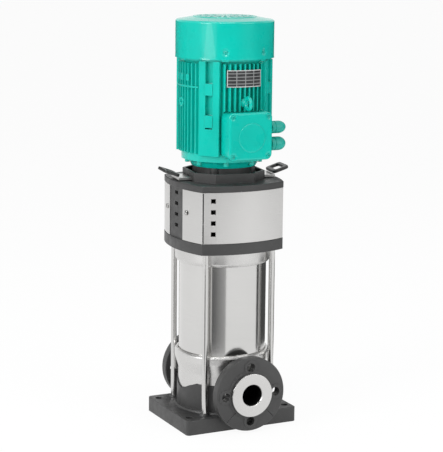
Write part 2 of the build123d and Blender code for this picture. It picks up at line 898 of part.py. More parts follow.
# ================================================================ lifting lugs
with BuildPart() as lug_arms:
    for side in (0, 1):
        with BuildSketch(lug_plane(side, lug_bottom)):
            with Locations(((lug_inner + lug_outer) / 2, 0)):
                Rectangle(lug_outer - lug_inner, lug_width)
            with Locations((lug_bolt_reach, lug_bolt_offset), (lug_bolt_reach, -lug_bolt_offset)):
                Circle(2.5, mode=Mode.SUBTRACT)
        extrude(amount=lug_top - lug_bottom)
lug_arms.part.label = "lug_arms"
export_step(lug_arms.part, "parts/lug_arms.step")

with BuildPart() as lug_grips:
    for side in (0, 1):
        lug_angle = math.radians(lug_turn + 180 * side)
        across = (math.sin(lug_angle), -math.cos(lug_angle), 0)
        outward = (math.cos(lug_angle), math.sin(lug_angle), 0)
        with BuildSketch(Plane((0, 0, lug_top), outward, across)):
            with BuildLine():
                Polyline(
                    (grip_inner, 0),
                    (grip_bend, 0),
                    (grip_end, grip_rise),
                    (grip_end - 2, grip_rise + grip_thickness),
                    (grip_bend - 1, grip_thickness),
                    (grip_inner, grip_thickness),
                    close=True,
                )
            make_face()
        extrude(amount=grip_half, both=True)
        with BuildSketch(lug_plane(side, lug_top - 1)):
            with Locations(((grip_inner + grip_end) / 2 + 1.5, 0)):
                RectangleRounded(slot_width, slot_length, 4)
        extrude(amount=40, mode=Mode.SUBTRACT)
    fillet(lug_grips.edges().filter_by(Axis.Z).group_by(SortBy.LENGTH)[0], 1)
lug_grips.part.label = "lug_grips"
export_step(lug_grips.part, "parts/lug_grips.step")

with BuildPart() as lug_bolts:
    for side in (0, 1):
        with BuildSketch(lug_plane(side, lantern_lintel + 2)):
            with Locations((lug_bolt_reach, lug_bolt_offset), (lug_bolt_reach, -lug_bolt_offset)):
                Circle(2.5)
        extrude(amount=lug_top - lantern_lintel - 2)
        with BuildSketch(lug_plane(side, lug_top)):
            with Locations((lug_bolt_reach, lug_bolt_offset), (lug_bolt_reach, -lug_bolt_offset)):
                Circle(4.2)
        extrude(amount=4.5)
lug_bolts.part.label = "lug_bolts"
export_step(lug_bolts.part, "parts/lug_bolts.step")

# ================================================================ motor shell
with BuildPart() as motor_flange:
    add(ring_profile(
        (motor_shaft_radius + 0.5, flange_face - spigot_height),
        (stool_bore - 0.1, flange_face - spigot_height),
        (stool_bore - 0.1, flange_face),
        (64, flange_face),
        (66, flange_face + 2),
        (70.6, 534),
        (78.5, frame_bottom),
        (frame_bore, frame_bottom),
        (frame_bore, frame_bottom + rabbet),
        (frame_bore - 5, frame_bottom + rabbet),
        (frame_bore - 5, frame_bottom),
        (34, 536),
        (34, 549),
        (bearing_outer, 549),
        (bearing_outer, bearing_seat),
        (motor_shaft_radius + 0.5, bearing_seat),
    ))
    revolve(axis=Axis.Z)
    with BuildSketch(Plane.XY.offset(flange_face)):
        with PolarLocations(motor_bolt_circle / 2, 4, start_angle=45):
            Circle(4)
    extrude(amount=9, mode=Mode.SUBTRACT)
motor_flange.part.label = "motor_flange"
export_step(motor_flange.part, "parts/motor_flange.step")

with BuildPart() as motor_bolts:
    with BuildSketch(Plane.XY.offset(lantern_lintel)):
        with PolarLocations(motor_bolt_circle / 2, 4, start_angle=45):
            Circle(4)
    extrude(amount=flange_face + 9 - lantern_lintel)
    with BuildSketch(Plane.XY.offset(lantern_lintel)):
        with PolarLocations(motor_bolt_circle / 2, 4, start_angle=45):
            RegularPolygon(6.5, 6, major_radius=False)
    extrude(amount=-5.5)
motor_bolts.part.label = "motor_bolts"
export_step(motor_bolts.part, "parts/motor_bolts.step")

with BuildPart() as motor_frame:
    with BuildSketch(Plane.XY.offset(frame_bottom)):
        Circle(frame_skin + 5)
    extrude(amount=fin_bottom - frame_bottom)
    with BuildSketch(Plane.XY.offset(fin_bottom)):
        Circle(frame_skin)
    extrude(amount=frame_top - fin_bottom)
    # nine parallel fins on each of four sides
    with BuildSketch(Plane.XY.offset(fin_bottom)):
        for quarter in range(4):
            with Locations(Location((0, 0, 0), (0, 0, 90 * quarter))):
                with Locations((60, 0)):
                    with GridLocations(1, fin_pitch, 1, 9):
                        Rectangle(70, fin_thickness)
        Circle(fin_radius, mode=Mode.INTERSECT)
    extrude(amount=fin_top - fin_bottom)
    # four columns between them, each with a channel and two pads
    with BuildSketch(Plane.XY.offset(column_bottom)):
        for quarter in range(4):
            with Locations(Location((0, 0, 0), (0, 0, 45 + 90 * quarter))):
                with Locations(((frame_bore + column_reach) / 2, 0)):
                    Rectangle(column_reach - frame_bore, 2 * column_half)
    extrude(amount=frame_top - column_bottom)
    with BuildSketch(Plane.XY.offset(channel_bottom)):
        for quarter in range(4):
            with Locations(Location((0, 0, 0), (0, 0, 45 + 90 * quarter))):
                with Locations((channel_floor + 10, 0)):
                    Rectangle(20, 2 * channel_half)
    extrude(amount=frame_top - channel_bottom, mode=Mode.SUBTRACT)
    for pad_bottom, pad_top in pad_levels:
        with BuildSketch(Plane.XY.offset(pad_bottom)):
            for quarter in range(4):
                with Locations(Location((0, 0, 0), (0, 0, 45 + 90 * quarter))):
                    with Locations((channel_floor + 5, 0)):
                        Rectangle(12, 2 * channel_half + 0.4)
        extrude(amount=pad_top - pad_bottom)
    # a boss for the lifting eye and a flat for the terminal box
    with BuildSketch(Plane.XZ.offset(frame_bore + 2)):
        with Locations((0, eye_z)):
            Circle(eye_boss_radius)
    extrude(amount=eye_boss_face - frame_bore - 2)
    # the fin tips stop at the boss, so the eye's collar seats on it
    with BuildSketch(Plane.XZ.offset(eye_boss_face)):
        with Locations((0, eye_z)):
            Circle(eye_boss_radius)
    extrude(amount=10, mode=Mode.SUBTRACT)
    with BuildSketch(Plane.XZ.offset(box_seat)):
        with Locations((0, box_centre_z)):
            Rectangle(2 * box_half + 1, 2 * box_half + 4)
    extrude(amount=30, mode=Mode.SUBTRACT)
    with BuildSketch(Plane.XY.offset(frame_bottom)):
        Circle(frame_bore)
    extrude(amount=frame_top - frame_bottom, mode=Mode.SUBTRACT)
    with BuildSketch(Plane.XZ.offset(frame_bore - 2)):
        with Locations((0, box_centre_z)):
            Rectangle(40, 30)
        with Locations((0, eye_z)):
            Circle(5)
    extrude(amount=30, mode=Mode.SUBTRACT)
motor_frame.part.label = "motor_frame"
export_step(motor_frame.part, "parts/motor_frame.step")

with BuildPart() as rear_end_shield:
    add(ring_profile(
        (10.5, 732),
        (24, 732),
        (24, 716),
        (30, 716),
        (30, 734),
        (frame_bore - 5, frame_top),
        (frame_bore - 5, frame_top - 6),
        (frame_bore, frame_top - 6),
        (frame_bore, frame_top),
        (93, frame_top),
        (93, frame_top + 6),
        (10.5, frame_top + 6),
    ))
    revolve(axis=Axis.Z)
    for azimuth in (-90 - cover_screw_angle, -90 + cover_screw_angle,
                    90 - cover_screw_angle, 90 + cover_screw_angle):
        with BuildSketch(radial_plane(azimuth, 88, 0)):
            with Locations((0, (frame_top + 764) / 2)):
                Rectangle(14, 764 - frame_top)
        extrude(amount=cover_radius - cover_sheet - 0.3 - 88)
        with BuildSketch(radial_plane(azimuth, 90, cover_screw_z)):
            Circle(2)
        extrude(amount=10, mode=Mode.SUBTRACT)
rear_end_shield.part.label = "rear_end_shield"
export_step(rear_end_shield.part, "parts/rear_end_shield.step")

with BuildPart() as fan_cover:
    with BuildSketch(Plane.XZ):
        with BuildLine():
            Polyline((86, 817), (dome_step, 820), (dome_step - 1.5, 821.5), (0, cover_top))
            Polyline((0, cover_top), (0, cover_bottom), (cover_radius, cover_bottom))
            Line((cover_radius, cover_bottom), (cover_radius, cover_shoulder))
            ThreePointArc((cover_radius, cover_shoulder), (94.6, 813.4), (86, 817))
        make_face()
    revolve(axis=Axis.Z)
    with BuildSketch(Plane.XZ):
        with BuildLine():
            Polyline((85, 815.6), (dome_step - 1, 818.3), (dome_step - 2.5, 819.8), (0, 821.3))
            Polyline((0, 821.3), (0, cover_bottom), (cover_radius - cover_sheet, cover_bottom))
            Line((cover_radius - cover_sheet, cover_bottom), (cover_radius - cover_sheet, cover_shoulder))
            ThreePointArc((cover_radius - cover_sheet, cover_shoulder), (93.4, 812.2), (85, 815.6))
        make_face()
    revolve(axis=Axis.Z, mode=Mode.SUBTRACT)
    # the air intake: slots in rings over the fan
    with BuildSketch(Plane.XY.offset(cover_shoulder + 8)):
        for slot_radius, slots in ((24, 10), (38, 16), (52, 22)):
            with PolarLocations(slot_radius, slots):
                SlotOverall(10, 4.4)
    extrude(amount=20, mode=Mode.SUBTRACT)
    for azimuth in (-90 - cover_screw_angle, -90 + cover_screw_angle,
                    90 - cover_screw_angle, 90 + cover_screw_angle):
        with BuildSketch(radial_plane(azimuth, 90, cover_screw_z)):
            Circle(2)
        extrude(amount=10, mode=Mode.SUBTRACT)
fan_cover.part.label = "fan_cover"
export_step(fan_cover.part, "parts/fan_cover.step")

with BuildPart() as fan_cover_screws:
    for azimuth in (-90 - cover_screw_angle, -90 + cover_screw_angle,
                    90 - cover_screw_angle, 90 + cover_screw_angle):
        with BuildSketch(radial_plane(azimuth, 91, cover_screw_z)):
            Circle(2)
        extrude(amount=8)
        with BuildSketch(radial_plane(azimuth, cover_radius + 0.05, cover_screw_z)):
            Circle(4)
        extrude(amount=2.4)
fan_cover_screws.part.label = "fan_cover_screws"
export_step(fan_cover_screws.part, "parts/fan_cover_screws.step")

# ================================================================ motor inside
with BuildPart() as stator_core:
    with BuildSketch(Plane.XY.offset(core_bottom)):
        Circle(frame_bore)
        Circle(rotor_radius + air_gap, mode=Mode.SUBTRACT)
        with PolarLocations(52, 24):
            SlotOverall(14, 5, mode=Mode.SUBTRACT)
    extrude(amount=core_top - core_bottom)
stator_core.part.label = "stator_core"
export_step(stator_core.part, "parts/stator_core.step")

with BuildPart() as stator_windings:
    for winding_bottom in (core_bottom - 18, core_top):
        with BuildSketch(Plane.XY.offset(winding_bottom)):
            Circle(63)
            Circle(46, mode=Mode.SUBTRACT)
        extrude(amount=18)
    fillet(stator_windings.edges().group_by(Axis.Z)[-1], 5)
    fillet(stator_windings.edges().group_by(Axis.Z)[0], 5)
stator_windings.part.label = "stator_windings"
export_step(stator_windings.part, "parts/stator_windings.step")

with BuildPart() as rotor_core:
    with BuildSketch(Plane.XY.offset(core_bottom)):
        Circle(rotor_radius)
        Circle(16, mode=Mode.SUBTRACT)
    extrude(amount=core_top - core_bottom)
    for ring_bottom in (core_bottom - 8, core_top):
        with BuildSketch(Plane.XY.offset(ring_bottom)):
            Circle(rotor_radius - 2)
            Circle(28, mode=Mode.SUBTRACT)
        extrude(amount=8)
rotor_core.part.label = "rotor_core"
export_step(rotor_core.part, "parts/rotor_core.step")

with BuildPart() as motor_shaft:
    add(ring_profile(
        (0, 440),
        (motor_shaft_radius, 440),
        (motor_shaft_radius, bearing_seat),
        (bearing_inner - 0.02, bearing_seat),
        (bearing_inner - 0.02, 548),
        (16, 548.5),
        (16, 715.5),
        (9.98, 716),
        (9.98, 745),
        (9, 745),
        (9, 794),
        (0, 794),
    ))
    revolve(axis=Axis.Z)
motor_shaft.part.label = "motor_shaft"
export_step(motor_shaft.part, "parts/motor_shaft.step")

for bearing_name, seat, bore, outer, width in (
    ("drive_end_bearing", bearing_seat, bearing_inner, bearing_outer, 15),
    ("fan_end_bearing", rear_bearing_seat, 10, 24, 14),
):
    race = 0.28 * (outer - bore)
    with BuildPart() as ball_bearing:
        with BuildSketch(Plane.XY.offset(seat)):
            Circle(outer)
            Circle(outer - race, mode=Mode.SUBTRACT)
        extrude(amount=width)
        with BuildSketch(Plane.XY.offset(seat)):
            Circle(bore + race)
            Circle(bore, mode=Mode.SUBTRACT)
        extrude(amount=width)
        with Locations((0, 0, seat + width / 2)):
            with PolarLocations((outer + bore) / 2, 8):
                Sphere((outer - bore) / 2 - race - 0.05)
    ball_bearing.part.label = bearing_name
    export_step(ball_bearing.part, f"parts/{bearing_name}.step")

with BuildPart() as fan:
    with BuildSketch(Plane.XY.offset(fan_bottom)):
        Circle(18)
    extrude(amount=24)
    with BuildSketch(Plane.XY.offset(fan_bottom)):
        Circle(fan_radius)
    extrude(amount=2.5)
    with BuildSketch(Plane.XY.offset(fan_bottom + 2)):
        with PolarLocations((fan_radius + 17) / 2, 8):
            Rectangle(fan_radius - 17, 2.5)
    extrude(amount=fan_top - fan_bottom - 2)
    with BuildSketch(Plane.XY.offset(fan_bottom)):
        Circle(9)
    extrude(amount=40, mode=Mode.SUBTRACT)
fan.part.label = "fan"
export_step(fan.part, "parts/fan.step")

# ================================================================ terminal box
with BuildPart() as terminal_box:
    with BuildSketch(Plane.XZ.offset(box_seat)):
        with Locations((0, box_centre_z)):
            RectangleRounded(2 * box_half, 2 * box_half, 8)
    extrude(amount=lid_back - box_seat)
    with BuildSketch(Plane.XZ.offset(box_seat + box_wall)):
        with Locations((0, box_centre_z)):
            RectangleRounded(2 * (box_half - box_wall), 2 * (box_half - box_wall), 6)
    extrude(amount=lid_back - box_seat - box_wall, mode=Mode.SUBTRACT)
    with BuildSketch(Plane.XZ.offset(box_seat)):
        with Locations((0, box_centre_z)):
            with GridLocations(2 * lid_screw, 2 * lid_screw, 2, 2):
                Circle(4.5)
    extrude(amount=lid_back - box_seat)
    with BuildSketch(Plane.XZ.offset(box_seat)):
        with Locations((0, box_centre_z)):
            Rectangle(40, 30)
    extrude(amount=box_wall, mode=Mode.SUBTRACT)
    with BuildSketch(Plane.XZ.offset(lid_back - 12)):
        with Locations((0, box_centre_z)):
            with GridLocations(2 * lid_screw, 2 * lid_screw, 2, 2):
                Circle(2)
    extrude(amount=12, mode=Mode.SUBTRACT)
    with BuildSketch(Plane.YZ.offset(box_half - 10)):
        with Locations((gland_y, gland_levels[0]), (gland_y, gland_levels[1])):
            Circle(8)
    extrude(amount=20, mode=Mode.SUBTRACT)
terminal_box.part.label = "terminal_box"
export_step(terminal_box.part, "parts/terminal_box.step")

with BuildPart() as terminal_box_lid:
    with BuildSketch(Plane.XZ.offset(lid_back)):
        with Locations((0, box_centre_z)):
            RectangleRounded(2 * lid_half, 2 * lid_half, 10)
    extrude(amount=lid_front - lid_back)
    chamfer(terminal_box_lid.faces().sort_by(Axis.Y)[0].edges(), lid_edge)
    with BuildSketch(Plane.XZ.offset(lid_back)):
        with Locations((0, box_centre_z)):
            RectangleRounded(66, 66, 8)
    extrude(amount=lid_front - lid_back - 3, mode=Mode.SUBTRACT)
    with BuildSketch(Plane.XZ.offset(lid_back)):
        with Locations((0, box_centre_z)):
            with GridLocations(2 * lid_screw, 2 * lid_screw, 2, 2):
                Circle(2)
    extrude(amount=lid_front - lid_back, mode=Mode.SUBTRACT)
    with BuildSketch(Plane.XZ.offset(lid_front - 2)):
        with Locations((0, box_centre_z)):
            with GridLocations(2 * lid_screw, 2 * lid_screw, 2, 2):
                Circle(4.3)
    extrude(amount=5, mode=Mode.SUBTRACT)
    with BuildSketch(Plane.XZ.offset(lid_front - 0.5)):
        with Locations((2, box_centre_z - 2.5)):
            Circle(28)
    extrude(amount=1)
terminal_box_lid.part.label = "terminal_box_lid"
export_step(terminal_box_lid.part, "parts/terminal_box_lid.step")

with BuildPart() as lid_screws:
    with BuildSketch(Plane.XZ.offset(lid_back - 12)):
        with Locations((0, box_centre_z)):
            with GridLocations(2 * lid_screw, 2 * lid_screw, 2, 2):
                Circle(2)
    extrude(amount=lid_front - lid_back + 10)
    with BuildSketch(Plane.XZ.offset(lid_front - 2)):
        with Locations((0, box_centre_z)):
            with GridLocations(2 * lid_screw, 2 * lid_screw, 2, 2):
                Circle(4)
    extrude(amount=2.2)
lid_screws.part.label = "lid_screws"
export_step(lid_screws.part, "parts/lid_screws.step")

with BuildPart() as terminal_board:
    with BuildSketch(Plane.XZ.offset(box_seat + box_wall)):
        with Locations((0, box_centre_z)):
            Rectangle(60, 44)
            Rectangle(30, 26, mode=Mode.SUBTRACT)
    extrude(amount=8)
    with BuildSketch(Plane.XZ.offset(box_seat + box_wall + 8)):
        with Locations((0, box_centre_z)):
            with GridLocations(22, 35, 3, 2):
                Circle(2.5)
    extrude(amount=12)
terminal_board.part.label = "terminal_board"
export_step(terminal_board.part, "parts/terminal_board.step")

with BuildPart() as cable_glands:
    for level, gland_radius in zip(gland_levels, gland_radii):
        with BuildSketch(Plane((0, gland_y, level), (1, 0, 0), (0, -1, 0))):
            with BuildLine():
                Polyline(
                    (box_half - 6, 0),
                    (box_half - 6, 8),
                    (box_half, 8),
                    (box_half, gland_radius - 1.5),
                    (box_half + 8, gland_radius - 1.5),
                    (box_half + 10, gland_radius),
                    (gland_end - 16, gland_radius),
                    (gland_end - 8, 0.85 * gland_radius),
                    (gland_end - 2.5, 0.58 * gland_radius),
                    (gland_end, 0.25 * gland_radius),
                    (gland_end, 0),
                    close=True,
                )
            make_face()
        revolve(axis=Axis((0, gland_y, level), (1, 0, 0)))
cable_glands.part.label = "cable_glands"
export_step(cable_glands.part, "parts/cable_glands.step")

# ================================================================ lifting eye and plate
with BuildPart() as lifting_eye:
    with BuildSketch(Plane.YZ):
        with Locations((eye_y, eye_z)):
            Circle(eye_outer)
    extrude(amount=3.4, both=True)
    with BuildSketch(Plane.XZ.offset(76)):
        with Locations((0, eye_z)):
            Circle(5)
    extrude(amount=-eye_y - eye_outer - 76 + 3)
    with BuildSketch(Plane.XZ.offset(eye_boss_face)):
        with Locations((0, eye_z)):
            Circle(eye_boss_radius - 1)
    extrude(amount=3)
    with BuildSketch(Plane.YZ):
        with Locations((eye_y, eye_z)):
            Circle(eye_hole)
    extrude(amount=10, both=True, mode=Mode.SUBTRACT)
lifting_eye.part.label = "lifting_eye"
export_step(lifting_eye.part, "parts/lifting_eye.step")

with BuildPart() as nameplate:
    with BuildSketch(Plane.XZ):
        with Locations((fin_radius + 0.55, (plate_bottom + plate_top) / 2)):
            Rectangle(0.9, plate_top - plate_bottom)
    revolve(axis=Axis.Z, revolution_arc=2 * plate_half_angle)
nameplate_turned = nameplate.part.rotate(Axis.Z, -90 - plate_half_angle)
nameplate_turned.label = "nameplate"
export_step(nameplate_turned, "parts/nameplate.step")
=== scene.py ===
"""Dresses the vertical multistage pump: surfaces, finishes, studio and camera.

Run as a script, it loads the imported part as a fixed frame, builds each visible
piece round it and sets up the studio. Lengths are metres, in the part's frame:
+Z is up along the shaft, the suction port is at -Y and the base is 245 mm along X.
"""

import json
import math

import bmesh
import bpy
import numpy as np
from bpy.props import FloatProperty, FloatVectorProperty, IntProperty, PointerProperty
from mathutils import Matrix, Vector


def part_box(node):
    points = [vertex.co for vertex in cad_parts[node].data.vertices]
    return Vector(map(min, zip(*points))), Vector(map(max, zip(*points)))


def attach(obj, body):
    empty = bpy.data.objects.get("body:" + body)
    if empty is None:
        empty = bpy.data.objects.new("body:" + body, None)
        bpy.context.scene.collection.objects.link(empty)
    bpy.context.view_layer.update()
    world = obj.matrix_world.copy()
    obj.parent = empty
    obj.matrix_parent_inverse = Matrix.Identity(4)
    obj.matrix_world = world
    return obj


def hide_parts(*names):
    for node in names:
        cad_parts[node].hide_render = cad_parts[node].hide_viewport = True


bl_info = {
    "name": "Vertical multistage pump",
    "version": (1, 0, 0),
    "blender": (4, 5, 0),
    "location": "View3D > Sidebar > Pump",
    "description": "Builds the looks of a vertical multistage pump round its CAD frame",
    "category": "Add Mesh",
}

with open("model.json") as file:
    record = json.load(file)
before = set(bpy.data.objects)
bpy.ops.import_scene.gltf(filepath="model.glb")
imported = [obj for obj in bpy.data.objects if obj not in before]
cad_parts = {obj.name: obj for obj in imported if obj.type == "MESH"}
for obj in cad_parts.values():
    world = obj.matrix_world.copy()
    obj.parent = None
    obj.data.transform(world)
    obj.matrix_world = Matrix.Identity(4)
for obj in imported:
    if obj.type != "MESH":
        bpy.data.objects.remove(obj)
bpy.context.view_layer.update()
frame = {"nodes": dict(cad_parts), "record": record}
MM = 0.001
TURN = 2 * math.pi


def span(node, axis):
    """Lowest and highest value of a CAD node along one axis, 0 to 2."""
    low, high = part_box(node)
    return low[axis], high[axis]


# ------------------------------------------------------------------ settings
class PumpSizes(bpy.types.PropertyGroup):
    """Sizes of the dressed pieces."""

    cover_radius: FloatProperty(
        name="Fan cover radius", description="Outside of the fan cover",
        default=span("fan_cover", 0)[1], unit="LENGTH")
    sleeve_radius: FloatProperty(
        name="Sleeve radius", description="Outside of the steel sleeve",
        default=span("outer_sleeve", 0)[1], unit="LENGTH")
    vent_size: FloatProperty(
        name="Guard opening", description="Side of a square opening in the guards",
        default=0.009, unit="LENGTH")
    segments: IntProperty(
        name="Segments", description="Steps round a turned surface",
        default=160, min=24, max=512)


class PumpColours(bpy.types.PropertyGroup):
    """Colours of the finishes, linear."""

    enamel: FloatVectorProperty(
        name="Motor enamel", description="Gloss paint on the motor", subtype="COLOR",
        size=3, default=(0.002, 0.47, 0.385), min=0, max=1)
    cast_black: FloatVectorProperty(
        name="Black paint", description="Paint on the cast iron", subtype="COLOR",
        size=3, default=(0.036, 0.036, 0.036), min=0, max=1)
    steel: FloatVectorProperty(
        name="Stainless steel", description="Bare steel of the pump", subtype="COLOR",
        size=3, default=(0.66, 0.655, 0.645), min=0, max=1)
    backdrop: FloatVectorProperty(
        name="Backdrop", description="Floor and backdrop", subtype="COLOR",
        size=3, default=(1.0, 1.0, 1.0), min=0, max=1)


def sizes():
    return bpy.context.scene.pump_sizes


def colours():
    return bpy.context.scene.pump_colours


# ------------------------------------------------------------------ node helpers
class Nodes:
    """A short way to write a material's node tree."""

    def __init__(self, name):
        self.material = bpy.data.materials.new(name)
        self.clear(self.material)
        self.out = self.add("ShaderNodeOutputMaterial")
        self.shader = self.add("ShaderNodeBsdfPrincipled")
        self.link(self.shader.outputs["BSDF"], self.out.inputs["Surface"])
        self.coords = self.add("ShaderNodeTexCoord").outputs["Object"]

    def clear(self, holder):
        """Starts an empty node tree on a material or a world."""
        holder.use_nodes = True
        self.tree = holder.node_tree
        self.tree.nodes.clear()

    def bare(self):
        """Takes the ready-made surface shader away."""
        self.tree.nodes.remove(self.shader)
        return self

    def seen(self):
        """1 for rays that show the backdrop: straight, mirrored or let through."""
        path = self.add("ShaderNodeLightPath").outputs
        return self.maths("MAXIMUM", path["Is Camera Ray"],
                          self.maths("MAXIMUM", path["Is Glossy Ray"], path["Is Transmission Ray"]))

    def mixed(self, factor, first, second, target):
        """Sends a mixture of two shaders to an output."""
        mixer = self.add("ShaderNodeMixShader")
        for source, socket in zip((factor, first.outputs[0], second.outputs[0]), mixer.inputs):
            self.link(source, socket)
        self.link(mixer.outputs[0], target.inputs["Surface"])

    def add(self, kind, **values):
        node = self.tree.nodes.new(kind)
        for key, value in values.items():
            setattr(node, key, value)
        return node

    def link(self, source, target):
        self.tree.links.new(source, target)

    def scaled(self, stretch):
        """Object coordinates multiplied by a vector, to stretch a pattern."""
        mapping = self.add("ShaderNodeMapping")
        mapping.inputs["Scale"].default_value = stretch
        self.link(self.coords, mapping.inputs["Vector"])
        return mapping.outputs["Vector"]

    def noise(self, scale, detail=3.0, stretch=None, rough=0.5):
        node = self.add("ShaderNodeTexNoise")
        node.inputs["Scale"].default_value = scale
        node.inputs["Detail"].default_value = detail
        node.inputs["Roughness"].default_value = rough
        self.link(self.scaled(stretch) if stretch else self.coords, node.inputs["Vector"])
        return node.outputs["Fac"]

    def ramp(self, value, low, high, from_low=0.3, from_high=0.7):
        """A number moved from one range to another, clamped."""
        node = self.add("ShaderNodeMapRange")
        self.link(value, node.inputs["Value"])
        node.inputs["From Min"].default_value = from_low
        node.inputs["From Max"].default_value = from_high
        node.inputs["To Min"].default_value = low
        node.inputs["To Max"].default_value = high
        return node.outputs["Result"]

    def maths(self, operation, first, second):
        node = self.add("ShaderNodeMath", operation=operation)
        for socket, value in zip(node.inputs, (first, second)):
            if isinstance(value, (int, float)):
                socket.default_value = value
            else:
                self.link(value, socket)
        return node.outputs["Value"]

    def mix(self, factor, first, second):
        """A colour between two, each a colour or a socket."""
        node = self.add("ShaderNodeMix", data_type="RGBA")
        self.link(factor, node.inputs["Factor"])
        for socket, value in ((node.inputs[6], first), (node.inputs[7], second)):
            if isinstance(value, (tuple, list)):
                socket.default_value = (*value, 1.0)
            else:
                self.link(value, socket)
        return node.outputs[2]

    def bump(self, height, distance, strength=1.0, radius=0.0):
        """Bump from a height, laid over edges rounded by a small radius."""
        node = self.add("ShaderNodeBump")
        node.inputs["Strength"].default_value = strength
        node.inputs["Distance"].default_value = distance
        self.link(height, node.inputs["Height"])
        if radius:
            self.link(self.rounded(radius), node.inputs["Normal"])
        self.link(node.outputs["Normal"], self.shader.inputs["Normal"])

    def rounded(self, radius):
        bevel = self.add("ShaderNodeBevel", samples=6)
        bevel.inputs["Radius"].default_value = radius
        return bevel.outputs["Normal"]

    def edges(self, radius):
        """1 on convex and concave edges narrower than the radius, 0 on flat ground."""
        geometry = self.add("ShaderNodeNewGeometry")
        dot = self.add("ShaderNodeVectorMath", operation="DOT_PRODUCT")
        self.link(self.rounded(radius), dot.inputs[0])
        self.link(geometry.outputs["Normal"], dot.inputs[1])
        return self.ramp(dot.outputs["Value"], 1.0, 0.0, 0.90, 0.998)


def shade(colour, factor):
    return tuple(min(1.0, c * factor) for c in colour)


def enamel(name, colour, gloss=0.28, edge=0.0009):
    """Gloss paint over a casting: faint cloudiness, orange peel, thinner on the edges."""
    n = Nodes(name)
    cloud = n.noise(14.0, 4.0)
    base = n.mix(n.ramp(cloud, 0.0, 1.0), shade(colour, 0.93), shade(colour, 1.05))
    thin = n.maths("MULTIPLY", n.edges(edge), n.ramp(n.noise(160.0), 0.0, 0.5))
    worn = n.mix(thin, base, tuple(0.75 * c + 0.12 for c in colour))
    n.link(worn, n.shader.inputs["Base Color"])
    n.link(n.ramp(n.noise(55.0, 5.0), gloss - 0.05, gloss + 0.09), n.shader.inputs["Roughness"])
    n.shader.inputs["Specular IOR Level"].default_value = 0.1
    n.shader.inputs["Coat Weight"].default_value = 0.6
    n.shader.inputs["Coat Roughness"].default_value = 0.05
    n.bump(n.noise(300.0, 2.0), 0.00003, 0.4, edge)
    return n.material


def cast_paint(name, colour, grain=0.00022, rough=0.42, edge=0.0012):
    """Semi-gloss paint over sand-cast iron: coarse grain, dust in the hollows, bright worn edges."""
    n = Nodes(name)
    cloud = n.ramp(n.noise(9.0, 5.0), 0.0, 1.0)
    base = n.mix(cloud, shade(colour, 0.82), shade(colour, 1.25))
    worn = n.maths("MULTIPLY", n.edges(edge), n.ramp(n.noise(90.0, 4.0), 0.0, 0.55, 0.45, 0.75))
    n.link(n.mix(worn, base, (0.17, 0.17, 0.175)), n.shader.inputs["Base Color"])
    n.link(n.ramp(n.noise(70.0, 5.0), rough - 0.07, rough + 0.12), n.shader.inputs["Roughness"])
    height = n.maths("ADD", n.noise(900.0, 3.0), n.maths("MULTIPLY", n.noise(160.0, 3.0), 1.4))
    n.bump(height, grain, 0.55, edge)
    return n.material


def steel(name, colour, rough=0.22, stretch=(1.0, 1.0, 60.0), grain=0.00002, edge=0.0005,
          scratch=0.06, stain=0.06, depth=0.0):
    """Bare stainless steel with a drawn or brushed grain along the direction least stretched; with depth,
    painted shade darkens it where walls stand close.
    """
    n = Nodes(name)
    lines = n.noise(28.0, 4.0, stretch)
    tint = n.mix(n.ramp(n.noise(7.0, 4.0), 0.0, 1.0), shade(colour, 1.0 - stain), colour)
    lined = n.mix(n.ramp(lines, 0.0, 0.10), tint, shade(colour, 0.72))
    if depth:
        # painted shade: darkened towards black where other walls stand close all round, within depth
        occlusion_shade = n.add("ShaderNodeAmbientOcclusion", samples=8)
        occlusion_shade.inputs["Distance"].default_value = depth
        lined = n.mix(n.ramp(occlusion_shade.outputs["AO"], 1.0, 0.0, 0.35, 0.95), lined, (0.03, 0.03, 0.03))
    n.link(lined, n.shader.inputs["Base Color"])
    n.shader.inputs["Metallic"].default_value = 1.0
    n.link(n.ramp(lines, rough, rough + scratch), n.shader.inputs["Roughness"])
    n.bump(lines, grain, 0.5, edge)
    return n.material


def plastic(name, colour, rough=0.38, grain=0.00004):
    """Moulded plastic with a fine spark-eroded skin."""
    n = Nodes(name)
    base = n.mix(n.ramp(n.noise(20.0, 3.0), 0.0, 1.0), shade(colour, 0.9), shade(colour, 1.08))
    n.link(base, n.shader.inputs["Base Color"])
    n.link(n.ramp(n.noise(300.0), rough - 0.05, rough + 0.08), n.shader.inputs["Roughness"])
    n.bump(n.noise(1100.0, 2.0), grain, 0.5, 0.0005)
    return n.material


def rubber(name):
    n = Nodes(name)
    base = n.mix(n.ramp(n.noise(40.0), 0.0, 1.0), (0.012, 0.012, 0.012), (0.03, 0.03, 0.03))
    n.link(base, n.shader.inputs["Base Color"])
    n.link(n.ramp(n.noise(90.0), 0.55, 0.75), n.shader.inputs["Roughness"])
    n.bump(n.noise(600.0), 0.00005, 0.6)
    return n.material


def copper(name):
    """Varnished wire, wound round the shaft."""
    n = Nodes(name)
    strands = n.noise(60.0, 3.0, (1.0, 1.0, 30.0))
    n.link(n.mix(n.ramp(strands, 0.0, 1.0), (0.42, 0.13, 0.05), (0.75, 0.32, 0.14)),
           n.shader.inputs["Base Color"])
    n.shader.inputs["Metallic"].default_value = 0.8
    n.link(n.ramp(strands, 0.25, 0.45), n.shader.inputs["Roughness"])
    n.bump(strands, 0.0003, 0.8)
    return n.material


